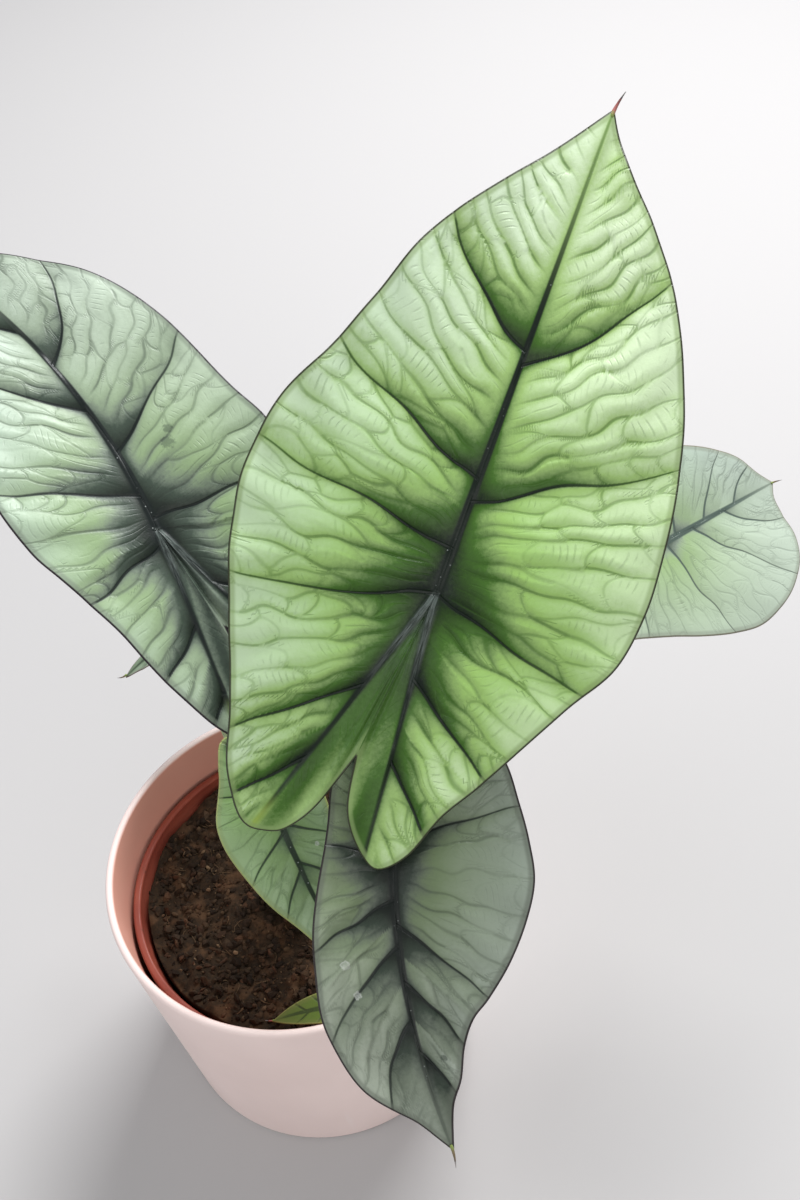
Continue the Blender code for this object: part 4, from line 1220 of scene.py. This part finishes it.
def soil_piece(skin):
    """The soil: a plug with a rough top, strewn with crumbs and bark chips. A crumb is one of a few
    knobbly balls of 18 points, stretched, turned and sunk into the top by its own draws."""
    low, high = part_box("soil")
    rim, pocket = high.x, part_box("crown")[1].x
    rows, steps = 110, 300
    points = soil_plug(low.z, rim, pocket, rows, steps)
    quads = grid_quads(rows + 2, steps)[:, ::-1]
    triangles = closing_fans(len(points), rows + 2, steps)
    ground = len(points)

    draw = np.random.default_rng(8)
    ball, ball_faces = knobbly_ball(draw)
    per = ball.shape[1]
    where_r = np.sqrt(draw.uniform((pocket * 1.05) ** 2, (rim - 1 * MM) ** 2, CRUMBS))
    where_a = draw.uniform(0, TAU, CRUMBS)
    size = MM * (0.35 + 1.9 * draw.uniform(0, 1, CRUMBS) ** 3.0)
    stretch = draw.uniform(0.40, 1.25, (CRUMBS, 3)) * size[:, None]
    turn = np.linalg.qr(draw.normal(size=(CRUMBS, 3, 3)))[0]
    turn = turn * np.sign(np.linalg.det(turn))[:, None, None]
    shape = ball[draw.integers(0, len(ball), CRUMBS)] * stretch[:, None, :]
    shape = np.einsum("nij,nkj->nki", turn, shape)
    x, y = where_r * np.cos(where_a), where_r * np.sin(where_a)
    centre = np.stack((x, y, soil_level(x, y) + 0.20 * size), axis=-1)
    crumbs = (shape + centre[:, None]).reshape(-1, 3)
    starts = ground + np.arange(CRUMBS) * per
    crumb_faces = (ball_faces[None] + starts[:, None, None]).reshape(-1, 3)
    strands, strand_faces = fibres(draw, pocket * 1.1, rim - 5 * MM)
    strand_faces = strand_faces + ground + len(crumbs)
    mesh = make_mesh("soil", np.concatenate((points, crumbs, strands)), quads,
                     np.concatenate((triangles, crumb_faces, strand_faces)))
    mesh.polygons.foreach_set("use_smooth", np.arange(len(mesh.polygons)) < len(quads) + len(triangles))
    tone = draw.uniform(0, 1, CRUMBS) ** 1.8 * np.where(size > 1.4 * MM, 0.6, 1.0)
    red = (draw.uniform(0, 1, CRUMBS) > 0.82) * draw.uniform(0.3, 1, CRUMBS)
    fibre_tone = 0.86
    give(mesh, "crumb", [np.concatenate((np.zeros(ground), np.repeat(part, per),
                                         np.full(len(strands), end)))
                         for part, end in ((tone, fibre_tone), (red, 0), (np.ones(CRUMBS), 1))])
    return add_piece("soil", mesh, skin, "soil")


def fibres(draw, inner, outer):
    """Ninety short peat fibres and rootlets: three-sided tubes of eight rings along bent lines that
    lie on the soil and dip into it at both ends."""
    number, rings = 90, 8
    r = np.sqrt(draw.uniform(inner ** 2, outer ** 2, number))
    a, heading = draw.uniform(0, TAU, number), draw.uniform(0, TAU, number)
    length, bend = draw.uniform(4, 13, number) * MM, draw.uniform(-1.6, 1.6, number)
    t = np.linspace(-0.5, 0.5, rings)
    way = heading[:, None] + bend[:, None] * t
    x = (r * np.cos(a))[:, None] + length[:, None] * t * np.cos(way)
    y = (r * np.sin(a))[:, None] + length[:, None] * t * np.sin(way)
    z = soil_level(x, y) + MM * (0.55 - 4.5 * t ** 2)
    thick = (draw.uniform(0.10, 0.28, number) * MM)[:, None] * (1.15 - 1.6 * np.abs(t))
    corner = np.arange(3) * TAU / 3
    points = np.stack((x[..., None] - (thick * np.sin(way))[..., None] * np.cos(corner),
                       y[..., None] + (thick * np.cos(way))[..., None] * np.cos(corner),
                       z[..., None] + thick[..., None] * np.sin(corner)), axis=-1).reshape(-1, 3)
    quads = grid_quads(rings, 3)
    tube = np.concatenate((quads[:, (0, 1, 2)], quads[:, (0, 2, 3)], ((0, 2, 1),),
                           ((3 * rings - 3, 3 * rings - 2, 3 * rings - 1),)))[:, ::-1]
    faces = tube[None] + (np.arange(number) * 3 * rings)[:, None, None]
    return points, faces.reshape(-1, 3)


def knobbly_ball(draw):
    """Eight variants of a unit ball with 18 points, dented along random directions, and the ball's
    32 faces. The points are an octahedron's corners and edge middles pushed out to the ball."""
    corners = np.concatenate((np.eye(3), -np.eye(3)))
    faces = [(x, y, z) if (x > 2) ^ (y > 2) ^ (z > 2) ^ True else (x, z, y)
             for x in (0, 3) for y in (1, 4) for z in (2, 5)]
    points, middles, split = list(corners), {}, []
    for i, j, k in faces:
        made = []
        for pair in ((i, j), (j, k), (k, i)):
            key = tuple(sorted(pair))
            if key not in middles:
                middles[key] = len(points)
                points.append((corners[pair[0]] + corners[pair[1]]) / 2)
            made.append(middles[key])
        split += [(i, made[0], made[2]), (made[0], j, made[1]), (made[2], made[1], k), tuple(made)]
    points = np.array(points)
    points /= np.linalg.norm(points, axis=1, keepdims=True)
    variants = []
    for _ in range(8):
        direction = draw.normal(size=(5, 3))
        direction /= np.linalg.norm(direction, axis=1, keepdims=True)
        dents = 0.38 * np.sum(np.clip(points @ direction.T - 0.55, 0, 1), axis=1)
        variants.append(points * (1 - dents + 0.12 * draw.normal(size=len(points)))[:, None])
    return np.array(variants), np.array(split)


# ---------------------------------------------------------------------------------------------
# Pots
# ---------------------------------------------------------------------------------------------

DRAIN_HOLES = 6
DRAIN_RADIUS = 4 * MM
DRAIN_CIRCLE = 30 * MM


def cover_pot_piece(skin):
    """The cover pot: a straight tapered wall, a fully rounded rim, a soft foot, and a shallow ring
    groove under it."""
    rim_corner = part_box("cover_pot")[1]
    height, rim_radius = rim_corner.z, rim_corner.x
    base_radius, wall, floor, foot = 62.6 * MM, 3 * MM, 4 * MM, 1.5 * MM
    half = wall / 2
    top = (rim_radius - half, height - half)
    outer_foot = (base_radius - foot, foot)
    inner_low = base_radius + (rim_radius - base_radius) * floor / height - wall
    cove = 2 * MM
    groove = 50 * MM
    profile = [(0, 0), (0.5 * MM, 0)] + run((0, 0), (groove, 0), 12)
    profile += arc((groove + 1.2 * MM, 0), 0.6 * MM, 180, 0, 6)
    profile += run((groove + 2 * MM, 0), (outer_foot[0], 0), 3)
    profile += arc(outer_foot, foot, -90, 0, 8)
    profile += run((base_radius, foot), (rim_radius, top[1]), 24)
    profile += arc(top, half, 0, 180, 16)
    profile += run((top[0] - half, top[1]), (inner_low, floor + cove), 24)
    profile += arc((inner_low - cove, floor + cove), cove, 0, -90, 6)
    profile += run((inner_low - cove, floor), (0, floor), 12)
    profile += [(0.5 * MM, floor), (0, floor)]
    mesh = turned_mesh("cover_pot", profile)
    # The inner wall's share, which carries its painted shade and reflected red light from the nursery
    # pot.
    crest = int(np.argmax([z for _, z in profile]))
    inside = ease(np.arange(len(profile)), crest + 3, crest + 7)
    inside = np.concatenate((np.repeat(inside[1:-1], TURNED_STEPS), (inside[0], inside[-1])))
    give(mesh, "wall", [inside] * 3)
    return add_piece("cover_pot", mesh, skin, "cover_pot")


def nursery_pot_piece(skin):
    """The nursery pot: a thin wall with a rounded, stepped lip, and round drain holes cut through
    its floor."""
    low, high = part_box("nursery_pot")
    top, rim_radius, floor = high.z, high.x, low.z
    wall, lip, lip_height, edge = 1.5 * MM, 3 * MM, 7 * MM, 0.9 * MM
    base = 49 * MM
    lip_low = top - lip_height
    outer_top = rim_radius - lip + wall
    shoulder = base + (outer_top - base) * (lip_low - floor) / (top - floor)
    profile = [(0, floor), (1 * MM, floor)] + run((0, floor), (base, floor), 14)
    profile += arc((base - 1 * MM, floor + 1 * MM), 1 * MM, -90, 0, 5)
    profile += run((base, floor + 1 * MM), (shoulder, lip_low), 20)
    profile += [(shoulder, lip_low)] + arc((rim_radius - edge, lip_low + edge), edge, -90, 0, 6)
    profile += arc((rim_radius - edge, top - edge), edge, 0, 90, 8)
    profile += arc((rim_radius - lip + edge, top - edge), edge, 90, 180, 8)
    profile += [(rim_radius - lip, lip_low + 1 * MM), (shoulder - wall, lip_low)]
    profile += run((shoulder - wall, lip_low), (base - wall, floor + wall + 1 * MM), 20)
    profile += arc((base - wall - 1 * MM, floor + wall + 1 * MM), 1 * MM, 0, -90, 5)
    profile += run((base - wall - 1 * MM, floor + wall), (0, floor + wall), 14)
    profile += [(1 * MM, floor + wall), (0, floor + wall)]
    mesh = turned_mesh("nursery_pot", profile, 192)
    pot = add_piece("nursery_pot", mesh, skin, "nursery_pot")
    cut_drain_holes(pot, floor - wall, floor + 3 * wall)
    return pot


def cut_drain_holes(pot, low, high):
    """Cuts a circle of round holes through a pot's floor and keeps the cut mesh."""
    cutters = []
    for number in range(DRAIN_HOLES):
        angle = TAU * number / DRAIN_HOLES
        across = (DRAIN_CIRCLE * math.cos(angle), DRAIN_CIRCLE * math.sin(angle))
        tube = turned_mesh("drain_cutter", [(0, low), (DRAIN_RADIUS, low), (DRAIN_RADIUS, high),
                                            (0, high)], 32)
        tube.transform(Matrix.Translation((*across, 0)))
        cutter = bpy.data.objects.new("drain_cutter", tube)
        bpy.context.collection.objects.link(cutter)
        cut = pot.modifiers.new("drain", "BOOLEAN")
        cut.operation = "DIFFERENCE"
        cut.object = cutter
        cutters.append(cutter)
    holed = bpy.data.meshes.new_from_object(pot.evaluated_get(bpy.context.evaluated_depsgraph_get()))
    pot.modifiers.clear()
    pot.data = holed
    for cutter in cutters:
        bpy.data.objects.remove(cutter, do_unlink=True)


# ---------------------------------------------------------------------------------------------
# Stage
# ---------------------------------------------------------------------------------------------

CAMERA_PLACE = (0.0514, -0.2622, 0.5497)
CAMERA_DOWN = 48.5              # degrees below level
CAMERA_ROLL = -6.75
LENS = 40.0


def camera():
    """A camera that looks down at the plant, rolled a little."""
    data = bpy.data.cameras.new("camera")
    data.lens = LENS
    data.sensor_width = 36.0
    view = bpy.data.objects.new("camera", data)
    bpy.context.collection.objects.link(view)
    turn = Matrix.Rotation(math.radians(90 - CAMERA_DOWN), 4, "X") \
        @ Matrix.Rotation(math.radians(CAMERA_ROLL), 4, "Z")
    view.matrix_world = Matrix.Translation(CAMERA_PLACE) @ turn
    bpy.context.scene.camera = view


def soft_light(name, place, aim, size, watts, colour):
    """A square lamp that faces a point."""
    data = bpy.data.lights.new(name, "AREA")
    data.shape = "SQUARE"
    data.size = size
    data.energy = watts
    data.color = colour
    lamp = bpy.data.objects.new(name, data)
    bpy.context.collection.objects.link(lamp)
    lamp.location = place
    lamp.rotation_euler = (Vector(aim) - Vector(place)).to_track_quat("-Z", "Y").to_euler()


def stage():
    """A plain pale floor, an even pale sky and three soft lights."""
    side = 6.0
    corners = np.array(((-side, -side, 0), (side, -side, 0), (side, side, 0), (-side, side, 0)))
    mesh = make_mesh("floor", corners - (0, 0, 0.2 * MM), np.array(((0, 1, 2, 3),)))
    floor = bpy.data.objects.new("floor", mesh)
    bpy.context.collection.objects.link(floor)
    n = Nodes("pale_floor")
    n.set(Base_Color=(0.47, 0.457, 0.452), Roughness=0.7, Specular_IOR_Level=0.2)
    mesh.materials.append(n.material)
    world = bpy.data.worlds.new("pale_sky")
    world.use_nodes = True
    sky = world.node_tree.nodes["Background"]
    sky.inputs["Color"].default_value = (0.92, 0.95, 1.0, 1.0)
    sky.inputs["Strength"].default_value = 0.45
    bpy.context.scene.world = world
    soft_light("window", (0.55, 0.95, 1.35), (0.03, 0, 0.2), 0.7, 37, (0.98, 0.99, 1.0))
    soft_light("left_fill", (-1.2, -0.5, 1.0), (0, 0, 0.2), 1.0, 6, (0.96, 0.98, 1.0))
    soft_light("front_fill", (0.4, -1.4, 1.1), (0, 0, 0.2), 1.2, 9, (1.0, 0.985, 0.96))
    bpy.context.scene.view_settings.view_transform = "Standard"


def build():
    """Adds the camera, every piece of the plant and its pots, and the stage."""
    camera()
    leaves = {leaf.name: leaf for leaf in LEAVES}
    fresh_tip, dry_tip = tip_skin(True), tip_skin(False)
    for leaf in LEAVES:
        blade_piece(leaf, LOOKS[leaf.name])
        tip_piece(leaf, fresh_tip if leaf.name in ("main", "young") else dry_tip)
    skin = stalk_skin()
    crown_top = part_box("crown")[1].z
    for item in STALKS:
        stalk_piece(leaves[item.leaf], stalk_foot(item, crown_top - 1.5 * MM), item.rise, item.reach,
                    item.base_radius, item.top_radius, skin)
    stalk_piece(leaves["young"], YOUNG_FOOT, 6, 6, 2.2, 1.2, skin)
    crown_piece(crown_skin())
    soil_piece(soil_skin())
    nursery_pot_piece(nursery_skin())
    cover_pot_piece(cover_skin())
    stage()


build()
